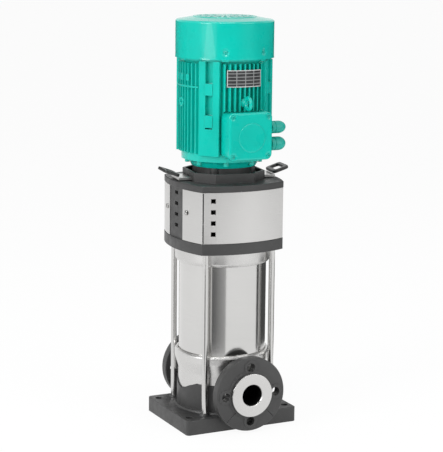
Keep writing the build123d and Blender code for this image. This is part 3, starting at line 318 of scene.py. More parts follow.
def plate_print(name, low, high):
    """A dark printed plate with a bare border and empty ruled fields, in object X and Z."""
    n = Nodes(name)
    split = n.add("ShaderNodeSeparateXYZ")
    n.link(n.coords, split.inputs["Vector"])
    across = n.ramp(split.outputs["X"], 0.0, 1.0, low[0], high[0])
    up = n.ramp(split.outputs["Z"], 0.0, 1.0, low[2], high[2])
    rows = n.maths("PINGPONG", n.maths("MULTIPLY", up, 5.0), 0.5)
    cells = n.maths("PINGPONG", n.maths("MULTIPLY", across, 4.0), 0.5)
    row_lines = n.ramp(rows, 1.0, 0.0, 0.06, 0.16)
    cell_lines = n.ramp(cells, 1.0, 0.0, 0.03, 0.06)
    edge_x = n.ramp(n.maths("PINGPONG", across, 0.5), 1.0, 0.0, 0.018, 0.026)
    edge_z = n.ramp(n.maths("PINGPONG", up, 0.5), 1.0, 0.0, 0.04, 0.06)
    ruled = n.maths("MAXIMUM", row_lines, cell_lines)
    border = n.maths("MAXIMUM", edge_x, edge_z)
    dirt = n.ramp(n.noise(120.0, 4.0), 0.0, 1.0)
    field = n.mix(dirt, (0.018, 0.019, 0.02), (0.05, 0.05, 0.052))
    printed = n.mix(n.maths("MULTIPLY", ruled, 0.8), field, (0.36, 0.37, 0.37))
    n.link(n.mix(border, printed, (0.55, 0.56, 0.56)), n.shader.inputs["Base Color"])
    n.shader.inputs["Metallic"].default_value = 0.2
    n.link(n.ramp(dirt, 0.35, 0.5, 0.0, 1.0), n.shader.inputs["Roughness"])
    n.bump(n.maths("MAXIMUM", ruled, border), 0.00008, 0.6, 0.0003)
    return n.material


def finishes():
    """Every finish by the record's slot, made once."""
    made = bpy.context.scene.get("pump_finishes_made")
    if made:
        return {s: bpy.data.materials["finish_" + s] for s in made}
    teal, black, bare = (tuple(getattr(colours(), k)) for k in ("enamel", "cast_black", "steel"))
    plate_low, plate_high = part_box("nameplate")
    library = {
        "motor_paint": enamel("motor_paint", teal),
        "painted_screws": enamel("painted_screws", shade(teal, 0.85), 0.32),
        "gland_plastic": plastic("gland_plastic", shade(teal, 0.75), 0.45),
        "cast_iron_black": cast_paint("cast_iron_black", black),
        "flange_iron": cast_paint("flange_iron", shade(black, 1.05), 0.00026, 0.45),
        "grip_black": cast_paint("grip_black", shade(black, 0.75), 0.00010, 0.33, 0.0008),
        "housing_steel": steel("housing_steel", bare, 0.26, (8.0, 8.0, 8.0), 0.00002),
        "sleeve_steel": steel("sleeve_steel", shade(bare, 1.02), 0.10, (1.0, 1.0, 40.0), 0.000008),
        "guard_steel": steel("guard_steel", shade(bare, 0.98), 0.27, (1.0, 1.0, 90.0), 0.000008),
        "rod_steel": steel("rod_steel", bare, 0.16, (30.0, 30.0, 1.0)),
        "lug_steel": steel("lug_steel", bare, 0.28, (10.0, 2.0, 10.0)),
        "zinc_fasteners": steel("zinc_fasteners", shade(bare, 0.8), 0.3, (6.0, 6.0, 6.0)),
        # a darker copy of the steel, as painted shade for the insides seen down the bores; depth adds
        # painted shade in deep recesses
        "hydraulic_steel": steel("hydraulic_steel", shade(bare, 0.5), 0.4, (1.0, 1.0, 30.0), depth=0.06),
        "shaft_steel": steel("shaft_steel", shade(bare, 0.95), 0.15, (1.0, 1.0, 80.0)),
        "bearing_steel": steel("bearing_steel", bare, 0.12, (1.0, 1.0, 40.0)),
        "core_steel": steel("core_steel", shade(bare, 0.5), 0.4, (1.0, 1.0, 200.0), 0.0001),
        "coupling_iron": steel("coupling_iron", shade(bare, 0.45), 0.45, (12.0, 12.0, 12.0), 0.0001),
        "bush_carbide": plastic("bush_carbide", (0.05, 0.05, 0.055), 0.25),
        "seal_rubber": rubber("seal_rubber"),
        "winding_copper": copper("winding_copper"),
        "fan_plastic": plastic("fan_plastic", (0.02, 0.02, 0.022), 0.45),
        "board_plastic": plastic("board_plastic", (0.12, 0.05, 0.02), 0.4),
        "plate_aluminium": plate_print("plate_aluminium", plate_low, plate_high),
    }
    for slot_name, material in library.items():
        material.name = "finish_" + slot_name
    bpy.context.scene["pump_finishes_made"] = sorted(library)
    return library


# ------------------------------------------------------------------ mesh helpers
def ring_faces(rows, columns, wrap_rows, wrap_columns):
    """Quads of a grid of points, as an array of four indices each."""
    row_count = rows if wrap_rows else rows - 1
    column_count = columns if wrap_columns else columns - 1
    i, j = np.meshgrid(np.arange(row_count), np.arange(column_count), indexing="ij")
    i2, j2 = (i + 1) % rows, (j + 1) % columns
    quads = np.stack([i * columns + j, i * columns + j2, i2 * columns + j2, i2 * columns + j], -1)
    return quads.reshape(-1, 4)


def mesh_from(name, points, quads):
    """A mesh from arrays of points and quads."""
    mesh = bpy.data.meshes.new(name)
    mesh.from_pydata(points.reshape(-1, 3), [], quads)
    mesh.update()
    return mesh


def piece(name, parts, slot_name, body="pump", node=None, sharp=35.0, bevel=0.0):
    """An object from one or more (points, quads) pairs, welded, with outward normals."""
    built = bmesh.new()
    for points, quads in parts:
        mesh = mesh_from(name, points, quads)
        built.from_mesh(mesh)
        bpy.data.meshes.remove(mesh)
    bmesh.ops.remove_doubles(built, verts=built.verts, dist=2e-6)
    bmesh.ops.dissolve_degenerate(built, edges=built.edges, dist=1e-6)
    bmesh.ops.recalc_face_normals(built, faces=built.faces)
    mesh = bpy.data.meshes.new(name)
    built.to_mesh(mesh)
    built.free()
    mesh.shade_smooth()
    mesh.set_sharp_from_angle(angle=math.radians(sharp))
    obj = bpy.data.objects.new(name, mesh)
    bpy.context.scene.collection.objects.link(obj)
    mesh.materials.append(finishes()[slot_name])
    if bevel:
        rounding = obj.modifiers.new("rounding", "BEVEL")
        rounding.width = bevel
        rounding.segments = 2
        rounding.limit_method = "ANGLE"
        rounding.angle_limit = math.radians(sharp)
    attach(obj, body)
    if node:
        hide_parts(node)
    return obj


def lofted(grid, wrap_rows=False):
    """Points and quads of a grid whose rows are closed sections."""
    return grid.reshape(-1, 3), ring_faces(*grid.shape[:2], wrap_rows, True)


def capped(grid):
    """As lofted, with both end sections drawn in to their middle points."""
    ends = [np.repeat(grid[k].mean(0)[None, None], grid.shape[1], 1) for k in (0, -1)]
    return lofted(np.concatenate([ends[0], grid, ends[1]]))


def fine_rows(path, step):
    """A closed outline with points added, so that no stretch is longer than step."""
    out = []
    for start, end in zip(path, np.roll(path, -1, 0)):
        count = max(1, int(np.ceil(np.linalg.norm(end - start) / step)))
        out.extend(start + (end - start) * k / count for k in range(count))
    return np.array(out)


def outline(corners, steps=6):
    """smooth_path of corners given in millimetres, in metres."""
    return smooth_path(corners, steps) * MM


def smooth_path(corners, steps=6):
    """A closed outline from (a, b, radius) corners, each rounded by an arc of that radius."""
    corners = [tuple(c) if len(c) == 3 else (*c, 0.0) for c in corners]
    out = []
    for k, (a, b, radius) in enumerate(corners):
        here = np.array([a, b])
        back = np.array(corners[k - 1][:2]) - here
        ahead = np.array(corners[(k + 1) % len(corners)][:2]) - here
        if radius <= 0:
            out.append(here)
            continue
        back_len, ahead_len = np.linalg.norm(back), np.linalg.norm(ahead)
        back, ahead = back / back_len, ahead / ahead_len
        half = math.acos(max(-1.0, min(1.0, float(back @ ahead)))) / 2
        reach = min(radius / math.tan(half), 0.49 * back_len, 0.49 * ahead_len)
        t = np.linspace(0, 1, steps)[:, None]
        start, end = here + back * reach, here + ahead * reach
        out.extend((1 - t) ** 2 * start + 2 * t * (1 - t) * here + t ** 2 * end)
    return np.array(out)


def turned(profile, centre=(0, 0, 0), axis="Z", segments=None, wobble=None):
    """A closed (radius, height) outline carried round an axis through centre.

    A point at radius r and height h goes to (r cos t, r sin t, h) for t over a full
    turn. wobble(t, r, h) may change the radius.
    """
    segments = segments or sizes().segments
    t = np.linspace(0, TURN, segments, endpoint=False)[None, :]
    r = np.repeat(profile[:, 0:1], segments, 1)
    h = np.repeat(profile[:, 1:2], segments, 1)
    if wobble is not None:
        r = wobble(t, r, h)
    x, y = r * np.cos(t), r * np.sin(t)
    order = {"Z": (x, y, h), "Y": (x, h, -y), "X": (h, x, y)}[axis]
    points = np.stack(order, -1) + np.array(centre)
    return points, ring_faces(len(profile), segments, True, True)


def shell_with_openings(outer, inner, closed, wrap=False):
    """Two skins of the same grid joined round their rim and round every opening.

    outer and inner are grids of points; closed is a grid of cells, true where the
    sheet is solid. Between a solid cell and an open one a wall joins the two skins.
    With wrap the last column meets the first.
    """
    rows, columns = outer.shape[:2]
    cells = ring_faces(rows, columns, False, wrap).reshape(rows - 1, -1, 4)
    solid = cells[closed]
    offset = rows * columns
    faces = [solid, solid[:, ::-1] + offset]
    across = np.pad(closed, ((1, 1), (0, 0)))
    i, j = np.nonzero(np.diff(across.astype(int), axis=0))
    a, b = i * columns + j, i * columns + (j + 1) % columns
    faces.append(np.stack([a, b, b + offset, a + offset], -1))
    along = np.concatenate([closed[:, -1:], closed], 1) if wrap else np.pad(closed, ((0, 0), (1, 1)))
    i, j = np.nonzero(np.diff(along.astype(int), axis=1))
    a, b = i * columns + j, (i + 1) * columns + j
    faces.append(np.stack([a, b, b + offset, a + offset], -1))
    return np.concatenate([outer.reshape(-1, 3), inner.reshape(-1, 3)]), np.concatenate(faces)


def rounded_square(half_x, half_y, radius, count=16):
    """Evenly spaced points round a rectangle with rounded corners, eight times count of them."""
    t = np.linspace(0, math.pi / 2, 24)
    quarter = np.stack([half_x - radius + radius * np.cos(t), half_y - radius + radius * np.sin(t)], -1)
    flips = ((1, 1, 1), (-1, 1, -1), (-1, -1, 1), (1, -1, -1))
    loop = np.concatenate([(quarter * (sx, sy))[::order] for sx, sy, order in flips])
    loop = np.concatenate([loop, loop[:1]])
    walked = np.concatenate([[0], np.cumsum(np.linalg.norm(np.diff(loop, axis=0), axis=1))])
    even = np.linspace(0, walked[-1], 8 * count, endpoint=False)
    return np.stack([np.interp(even, walked, loop[:, k]) for k in (0, 1)], -1)


def smoothing_nodes():
    """A modifier that shades smooth every edge flatter than thirty degrees."""
    tree = bpy.data.node_groups.new("smooth_by_angle", "GeometryNodeTree")
    tree.interface.new_socket("Geometry", in_out="INPUT", socket_type="NodeSocketGeometry")
    tree.interface.new_socket("Geometry", in_out="OUTPUT", socket_type="NodeSocketGeometry")
    start = tree.nodes.new("NodeGroupInput")
    end = tree.nodes.new("NodeGroupOutput")
    faces = tree.nodes.new("GeometryNodeSetShadeSmooth")
    edges = tree.nodes.new("GeometryNodeSetShadeSmooth")
    edges.domain = "EDGE"
    angle = tree.nodes.new("GeometryNodeInputMeshEdgeAngle")
    flat = tree.nodes.new("FunctionNodeCompare")
    flat.data_type = "FLOAT"
    flat.operation = "LESS_THAN"
    flat.inputs[1].default_value = math.radians(30)
    tree.links.new(angle.outputs["Unsigned Angle"], flat.inputs[0])
    tree.links.new(start.outputs[0], faces.inputs["Geometry"])
    tree.links.new(faces.outputs["Geometry"], edges.inputs["Geometry"])
    tree.links.new(flat.outputs["Result"], edges.inputs["Shade Smooth"])
    tree.links.new(edges.outputs["Geometry"], end.inputs[0])
    return tree


# ------------------------------------------------------------------ motor
class MotorCover(bpy.types.Operator):
    """The fan cover: a drawn bowl with dimples round its screws and an intake grille on top."""

    bl_idname = "pump.fan_cover"
    bl_label = "Fan cover"

    def execute(self, context):
        low, high = span("fan_cover", 2)
        radius = sizes().cover_radius
        roll = 4.5 * MM
        shoulder = high - 12 * MM
        wall = 1.5 * MM
        intake = 59 * MM
        screws = [math.atan2(y, x) for x, y in screw_centres("fan_cover_screws")]
        side_rows, bend_rows, slope_rows = 60, 12, 14

        def skin(offset):
            """Radius and height up the side, round the shoulder, up the slope and over the grille."""
            t = np.linspace(0, math.pi / 2 - 0.12, bend_rows + 1)[1:]
            r_bend = radius - roll + roll * np.cos(t)
            z_bend = shoulder + roll * np.sin(t)
            r_slope = np.linspace(r_bend[-1], 65 * MM, slope_rows + 1)[1:]
            z_slope = np.linspace(z_bend[-1], high - 2.8 * MM, slope_rows + 1)[1:]
            r_top = np.concatenate([[64 * MM, 63.3 * MM, 62.6 * MM], np.linspace(intake, 6 * MM, 32)])
            z_top = high - 1.5 * MM * (r_top / (64 * MM)) ** 2
            z_top[0] = high - 2.6 * MM
            r = np.concatenate([np.full(side_rows, radius), r_bend, r_slope, r_top])
            z = np.concatenate([np.linspace(low, shoulder, side_rows), z_bend, z_slope, z_top])
            slope = side_rows + bend_rows
            r[:slope] -= offset * np.concatenate([np.ones(side_rows), np.cos(t)])
            z[side_rows:] -= offset * np.concatenate([np.sin(t), np.ones(len(z) - slope)])
            return r, z

        columns = 288
        t = np.linspace(0, TURN, columns + 1)
        grids = []
        for offset in (0.0, wall):
            r, z = skin(offset)
            r_grid = np.repeat(r[:, None], columns + 1, 1)
            z_grid = np.repeat(z[:, None], columns + 1, 1)
            for azimuth in screws:
                away = (t - azimuth + math.pi) % TURN - math.pi
                spread = np.hypot(away[None, :] * radius, z_grid - (low + 15 * MM))
                r_grid = r_grid - 2.2 * MM * np.exp(-(spread / (6.5 * MM)) ** 4)
            lip = np.clip((low + 5 * MM - z_grid) / (5 * MM), 0, 1)
            r_grid = r_grid + 0.4 * MM * lip * lip
            grids.append(np.stack([r_grid * np.cos(t), r_grid * np.sin(t), z_grid], -1))
        r, _ = skin(0.0)
        ring = (r[:-1] + r[1:]) / 2
        column = np.arange(columns)
        closed = np.ones((len(r) - 1, columns), bool)
        # rings of slots over the fan, with ribs between them in line
        in_ring = sum(((ring > a * MM) & (ring < b * MM)).astype(int)
                      for a, b in ((19, 29), (33, 43), (47, 57))) > 0
        in_ring &= np.arange(len(ring)) > side_rows + bend_rows + slope_rows + 2
        closed[np.ix_(in_ring, (column % 12) < 7)] = False
        points, faces = shell_with_openings(grids[0], grids[1], closed)
        cap_r = np.array([6, 5.5, 3, 0]) * MM
        z_cap = skin(0.0)[1][-1]
        cap = np.array([(a, z_cap) for a in cap_r] + [(a, z_cap - wall) for a in cap_r[::-1]])
        piece("fan_cover_shell", [(points, faces), turned(cap, segments=48)],
              "motor_paint", node="fan_cover", sharp=40)
        return {"FINISHED"}


def screw_centres(node):
    """Centres in plan of a group of screws that stand apart, from their mesh."""
    co = np.array([v.co for v in frame["nodes"][node].data.vertices])
    angle = np.arctan2(co[:, 1], co[:, 0])
    order = np.sort(angle)
    groups = np.split(order, np.nonzero(np.diff(order) > 0.2)[0] + 1)
    reach = np.hypot(co[:, 0], co[:, 1]).max()
    return [(reach * math.cos(g.mean()), reach * math.sin(g.mean())) for g in groups]


class MotorFlange(bpy.types.Operator):
    """The drive-end flange: a cast cone from the motor's bolt face up to its body."""

    bl_idname = "pump.motor_flange"
    bl_label = "Motor flange"

    def execute(self, context):
        base = span("lantern", 2)[1]
        foot = base / MM
        parts = [turned(outline([
            (20, foot + 2), (47, foot + 2), (47, foot + 0.2), (64.5, foot + 0.2, 1.5), (66.5, foot + 3, 2),
            (70.6, foot + 9, 3), (78.4, foot + 14.8, 1), (78.4, foot + 16), (20, foot + 16),
        ]))]
        # eight round bosses on the cone
        boss = outline([(0.01, 0), (4.6, 0), (5.2, 1, 0.8), (5.2, 14), (0.01, 14)])
        for azimuth in np.radians(22.5 + 45 * np.arange(8)):
            place = (72.5 * MM * math.cos(azimuth), 72.5 * MM * math.sin(azimuth), base + 5.5 * MM)
            parts.append(turned(boss, place, segments=24))
        piece("motor_flange_casting", parts, "motor_paint", node="motor_flange", sharp=40)
        return {"FINISHED"}


class FrameBosses(bpy.types.Operator):
    """Small castings on the motor's -X side: a ring boss, a rib across the fins and three pads."""

    bl_idname = "pump.frame_bosses"
    bl_label = "Motor bosses"

    def execute(self, context):
        ring = outline([(3.6, 78), (9, 78), (9, 93, 1.5), (4.4, 93, 0.8), (3.6, 90)])
        ring[:, 1] *= -1
        parts = [turned(ring, (0, 5 * MM, 655 * MM), "X", 64)]
        # the rib and pads are sections carried along the tips' circle
        blocks = [(685, 688.5, -46, 44)]
        blocks += [(698, 711, y - 4.5, y + 4.5) for y in (-20, 0, 20)]
        for low, high, start, end in blocks:
            section = outline([(79, low), (93, low, 1), (93, high, 1), (79, high)])
            y = np.linspace(start * MM, end * MM, 24)
            angle = (math.pi - np.arcsin(y / (92 * MM)))[:, None]
            grid = [section[:, 0] * np.cos(angle), section[:, 0] * np.sin(angle),
                    np.repeat(section[None, :, 1], len(y), 0)]
            parts.append(capped(np.stack(grid, -1)))
        piece("frame_bosses", parts, "motor_paint", sharp=40)
        return {"FINISHED"}


class TerminalBox(bpy.types.Operator):
    """The terminal box: a drafted case and a deep lid with a raised disc."""

    bl_idname = "pump.terminal_box"
    bl_label = "Terminal box"

    def execute(self, context):
        low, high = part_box("terminal_box_lid")
        middle = (low[2] + high[2]) / 2
        half = (high[0] - low[0]) / 2
        front, back = low[1] + 0.5 * MM, high[1]
        base = rounded_square(1.0, 1.0, 0.24, 20)

        # the lid: rings from the back edge over the rounded rim to the middle of its face
        edge = np.linspace(0, math.pi / 2, 9)
        roll = 4.2 * MM
        inset = np.concatenate([[0.0, 0.0], roll * (1 - np.cos(edge))])
        depth = np.concatenate([[back, back - 0.5 * MM], front + roll - roll * np.sin(edge)])
        inset = np.concatenate([inset, np.linspace(roll, half, 46)[1:]])
        depth = np.concatenate([depth, np.full(45, front)])
        scale = np.maximum(half - inset, 0)[:, None, None] * base[None]
        x, z = scale[..., 0], scale[..., 1]
        y = np.repeat(depth[:, None], x.shape[1], 1)
        for sx in (-1, 1):
            for sz in (-1, 1):
                away = np.hypot(x - sx * 38.5 * MM, z - sz * 38.5 * MM)
                seat = (inset[:, None] > 0) & (away < 9 * MM)
                y = y + np.where(seat, 1.6 * MM * np.exp(-(away / (5.6 * MM)) ** 6), 0)
        lid = np.stack([x, y, z + middle], -1)
        floor = lid[0:1].copy()
        floor[..., 0] *= 0.2
        floor[..., 2] = (floor[..., 2] - middle) * 0.2 + middle
        lid = np.concatenate([floor, lid])
        disc = outline([(0.01, -1), (28.2, -1), (28.2, 0.4, 0.5), (27.0, 1.0, 0.5), (0.01, 1.0)])
        disc[:, 1] = front - disc[:, 1]
        raised = turned(disc, (2 * MM, 0, middle - 2.5 * MM), "Y", 96)
        piece("terminal_lid", [lofted(lid), raised], "motor_paint", node="terminal_box_lid", sharp=50)

        # the case: straight sides with a flange under the lid
        low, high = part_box("terminal_box")
        half = (high[0] - low[0]) / 2
        start, end = high[1], low[1]
        steps = [(start, 0.0), (start - 2 * MM, 0.0), (end + 6 * MM, 0.6 * MM), (end + 5 * MM, -1.2 * MM),
                 (end, -1.2 * MM), (end, 6 * MM)]
        case = np.stack([np.stack([(half - s) * base[:, 0], np.full(len(base), y),
                                   (half - s) * base[:, 1] + middle], -1) for y, s in steps])
        piece("terminal_case", [lofted(case)], "motor_paint", node="terminal_box", sharp=50, bevel=0.6 * MM)
        return {"FINISHED"}


class Screws(bpy.types.Operator):
    """Screw heads with a cross recess, on the lid, the fan cover and the guards."""

    bl_idname = "pump.screws"
    bl_label = "Screws"

    def execute(self, context):
        for node, slot_name, radius, height in (
            ("lid_screws", "painted_screws", 4.0, 1.9),
            ("fan_cover_screws", "painted_screws", 3.8, 1.7),
            ("guard_screws", "zinc_fasteners", 4.8, 2.6),
        ):
            parts = []
            for head, outward in screw_heads(node):
                parts.append(recessed_head(head, outward, radius * MM, height * MM))
            piece(node.replace("screws", "screw_heads"), parts, slot_name, node=node, sharp=40)
        return {"FINISHED"}


def screw_heads(node):
    """Seat and outward direction of each screw of a group, from its loose solids."""
    co = np.array([v.co for v in frame["nodes"][node].data.vertices])
    if node == "lid_screws":
        x = np.array([co[:, 0].min() + 4 * MM, co[:, 0].max() - 4 * MM])
        z = np.array([co[:, 2].min() + 4 * MM, co[:, 2].max() - 4 * MM])
        seat = co[:, 1].min() + 1.8 * MM
        return [(Vector((a, seat, b)), Vector((0, -1, 0))) for a in x for b in z]
    if node == "guard_screws":
        y = np.array([co[:, 1].min() + 5 * MM, co[:, 1].max() - 5 * MM])
        z = (co[:, 2].min() + co[:, 2].max()) / 2
        reach = co[:, 0].max() - 3.3 * MM
        return [(Vector((s * reach, b, z)), Vector((s, 0, 0))) for s in (-1, 1) for b in y]
    z = (co[:, 2].min() + co[:, 2].max()) / 2
    out = []
    for x, y in screw_centres(node):
        away = Vector((x, y, 0)).normalized()
        out.append((away * (sizes().cover_radius - 2.2 * MM) + Vector((0, 0, z)), away))
    return out


def recessed_head(seat, outward, radius, height):
    """A pan head on a polar grid: a flat dome with a cross sunk in its middle.

    Height over the seat falls as the fourth power of the distance from the middle,
    and is lowered inside a cross whose arms are a fifth of the head wide.
    """
    ring = np.concatenate([np.linspace(0, 0.94, 14), [1.0, 1.0]])[:, None]
    t = np.linspace(0, TURN, 48, endpoint=False)[None, :]
    x, y = radius * ring * np.cos(t), radius * ring * np.sin(t)
    up = height * (1 - 0.45 * ring ** 4) + 0 * t
    arm, reach = 0.16 * radius, 0.55 * radius
    cross = ((abs(x) < arm) & (abs(y) < reach)) | ((abs(y) < arm) & (abs(x) < reach))
    up = np.where(cross, up - 0.55 * height, up)
    up[-1] = -0.5 * MM
    side = outward.orthogonal().normalized()
    third = outward.cross(side)
    grid = (np.array(seat) + x[..., None] * np.array(side) + y[..., None] * np.array(third)
            + up[..., None] * np.array(outward))
    base = np.repeat((np.array(seat) - 0.5 * MM * np.array(outward))[None, None, :], 48, 1)
    return lofted(np.concatenate([grid, base]))


class CableGlands(bpy.types.Operator):
    """Two cable glands: a hexagon, a ribbed nut and a blind dome."""

    bl_idname = "pump.cable_glands"
    bl_label = "Cable glands"

    def execute(self, context):
        low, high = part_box("cable_glands")
        y = (low[1] + high[1]) / 2
        parts = []
        for z, radius in ((low[2] + 13.8 * MM, 13.6 * MM), (high[2] - 12.5 * MM, 12.3 * MM)):
            start, end = low[0] + 5.9 * MM, high[0]
            t = np.linspace(0, math.pi / 2, 16)
            dome = np.stack([radius * np.cos(t), end - 16 * MM + 16 * MM * np.sin(t)], -1)
            dome[-1, 0] = 0.01 * MM
            full, foot = radius / MM, start / MM
            stem = MM * np.array([
                (0.01, foot), (full - 3, foot), (full - 1.6, foot + 0.6), (full - 1.6, foot + 7),
                (full - 4, foot + 7.8), (full - 4, foot + 9.6), (full - 0.8, foot + 10.2),
                (full, foot + 11.5), (full, foot + 17), (full - 1, foot + 17.6), (full - 1, foot + 18.6),
                (full, foot + 19.2), (full, foot + 23),
            ])

            def hexagon(t, r, h, start=start, radius=radius):
                """Radius drawn in to a hexagon's flats over the first nut."""
                turn = (t + math.pi / 6) % (math.pi / 3) - math.pi / 6
                flat = 0.93 * radius / np.cos(turn)
                return np.where(h < start + 7.4 * MM, np.minimum(r * 1.08, flat), r)

            parts.append(turned(np.concatenate([stem, dome]), (0, y, z), "X", 96, hexagon))
        piece("gland_bodies", parts, "gland_plastic", node="cable_glands", sharp=35)
        return {"FINISHED"}


class LiftingEye(bpy.types.Operator):
    """The lifting eye: a forged ring on a collared shank."""

    bl_idname = "pump.lifting_eye"
    bl_label = "Lifting eye"

    def execute(self, context):
        low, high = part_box("lifting_eye")
        outer = (high[2] - low[2]) / 2
        hole = 7 * MM
        centre = (0.0, low[1] + outer, (low[2] + high[2]) / 2)
        ring = (outer + hole) / 2
        t = np.linspace(0, TURN, 28, endpoint=False)
        # the ring's section is an oval, a little thicker along the shank's axis than across
        section = np.stack([ring + (outer - hole) / 2 * np.cos(t), 3.6 * MM * np.sin(t)], -1)
        parts = [turned(section, centre, "X", 96)]
        shank = outline([(0.01, 78), (5, 78), (5, 86), (9, 88, 1), (9, 90.5, 1), (4.2, 93, 2),
                         (3.6, 96), (0.01, 96)])
        shank[:, 1] *= -1
        parts.append(turned(shank, (0, 0, centre[2]), "Y", 64))
        piece("eye_ring", parts, "motor_paint", node="lifting_eye", sharp=40)
        return {"FINISHED"}


# ------------------------------------------------------------------ pump end
class PumpHousing(bpy.types.Operator):
    """The stainless housing: a bowl that swells towards its two necks, and their raised faces."""

    bl_idname = "pump.housing"
    bl_label = "Pump housing"

    def execute(self, context):
        port = 80 * MM
        face = span("pump_housing", 1)[1]
        top = span("pump_housing", 2)[1]
        rim, end = top / MM, face / MM
        # up the wall: radius and height, rounded where the flare starts and ends
        path = fine_rows(outline([
            (85.0, 60), (85.4, 64), (89.1, 64.2, 1), (89.1, 108, 12), (96.2, 131, 9), (96.2, 145, 4),
            (93.5, rim, 2), (90.5, rim, 1), (90.0, rim - 0.5),
        ], 8), 2.5 * MM)
        path = path[:1 + int(np.argmin(np.hypot(path[:, 0] - 90 * MM, path[:, 1] - top + 0.5 * MM)))]
        rows, columns = len(path), 240
        t = np.linspace(0, TURN, columns, endpoint=False)[None, :]
        h = np.repeat(path[:, 1:], columns, 1)
        r = path[:, :1] + np.zeros_like(h)
        for way in (-1, 1):
            # the wall stands out towards each port, as a bell in height and angle
            away = (t - way * math.pi / 2 + math.pi) % TURN - math.pi
            bell = np.exp(-(np.hypot(away * 88 * MM, (h - port) * 0.95) / (41 * MM)) ** 4)
            r = r + 3.6 * MM * bell * (path[:, :1] > 84 * MM)
        outer = np.stack([r * np.cos(t), r * np.sin(t), h], -1)
        level = np.minimum(path[:, 1], top - 3 * MM)
        bore = np.interp(level, np.array([60, 100, 120]) * MM, np.array([80, 80, 88.75]) * MM)
        bore = (bore - 0.004 * MM * np.arange(rows))[:, None] + np.zeros_like(h)
        inner = np.stack([bore * np.cos(t), bore * np.sin(t), level[:, None] + np.zeros_like(h)], -1)
        # cells round each port's axis are left open; the necks' roots hide their edge
        middle = (outer[:-1] + outer[1:] + np.roll(outer[:-1] + outer[1:], -1, 1)) / 4
        closed = np.hypot(middle[..., 0], middle[..., 2] - port) > 29 * MM
        bowl = shell_with_openings(outer, inner, closed, True)
        neck = outline([
            (21.5, 70), (38, 80), (36, 89.5, 2), (27.5, 95, 8), (24.2, 108, 8), (24.2, 132.6, 1),
            (40, 133.6), (43.6, 133.6, 0.6), (43.9, end - 0.5, 0.5), (43.2, end, 0.4),
            (22.6, end, 0.6), (21.5, end - 1.4, 0.6),
        ])
        necks = [turned(neck * (1, way), (0, 0, port), "Y", 128) for way in (-1, 1)]
        piece("housing_bowl", [bowl], "housing_steel", node="pump_housing", sharp=35)
        piece("port_necks", necks, "housing_steel", sharp=35)
        # the bores' inner skins, in the hydraulic steel with painted shade deep inside
        liner = fine_rows(outline([(20.9, 58), (22.0, 58), (21.9, end - 2), (21.3, end - 2.4), (20.9, 70)]),
                          4 * MM)
        piece("bore_skins", [turned(liner * (1, way), (0, 0, port), "Y", 96) for way in (-1, 1)],
              "hydraulic_steel", sharp=35)
        return {"FINISHED"}


class Socket(bpy.types.Operator):
    """The black rubber seal along the rim of the base's socket, which also stands in for the shadow in the
    gap there and shows as a dark line.

    The rim's height is 87 mm round both necks and dips to 71 mm at the middle of each side.
    """

    bl_idname = "pump.socket"
    bl_label = "Socket seal and shadow line"

    def execute(self, context):
        reach = math.radians(66)
        t = np.linspace(-reach, reach, 160)[:, None]
        # painted shadow: a near-black rubber ring that also stands for the shadow in the gap over the
        # socket's rim, with a faint wave along it
        ring = np.array([(89.15, -1.2), (90.9, -1.2), (90.7, 0.8), (90.2, 1.3), (89.15, 1.3)])
        aside = abs(90 * np.sin(t))
        rim = np.interp(aside, [0, 16.2, 28.8, 45], [71, 75, 81, 87]) + 0.25 * np.sin(23 * t + 1)
        seal_and_shadow_rings = []
        for side in (-1, 1):
            line = [side * ring[:, 0] * np.cos(t), ring[:, 0] * np.sin(t), rim + ring[:, 1]]
            seal_and_shadow_rings.append(capped(np.stack(line, -1) * MM))
        piece("socket_seal_and_shadow", seal_and_shadow_rings, "seal_rubber", sharp=40)
        return {"FINISHED"}


class OuterSleeve(bpy.types.Operator):
    """The sleeve round the stages, the collar over it, and the tie rods."""

    bl_idname = "pump.outer_sleeve"
    bl_label = "Sleeve, collar and rods"

    def execute(self, context):
        low, high = span("outer_sleeve", 2)
        radius = sizes().sleeve_radius
        tube = smooth_path([(radius - 2 * MM, low), (radius, low), (radius, high), (radius - 2 * MM, high)])
        piece("sleeve_tube", [turned(fine_rows(tube, 12 * MM), segments=256)],
              "sleeve_steel", node="outer_sleeve")
        high = span("pump_head", 2)[1]
        lip, wall, end = 332, radius / MM, high / MM
        collar = outline([
            (wall + 0.2, lip + 0.5), (wall + 1.2, lip - 0.2, 0.4), (93, lip, 5), (96.5, lip + 5.5, 4),
            (96.5, end, 0.3), (60, end), (60, end - 8), (wall + 0.2, end - 8),
        ], 8)
        piece("head_collar", [turned(collar, segments=224)], "housing_steel", node="pump_head")
        rod = outline([(0.01, 24), (6, 24), (6, 396, 1), (0.01, 396)])
        rods = [turned(rod, (x * MM, y * MM, 0), segments=40)
                for x, y in ((-74, -74), (74, -74), (-74, 74), (74, 74))]
        piece("rod_bars", rods, "rod_steel", node="tie_rods", sharp=40)
        return {"FINISHED"}


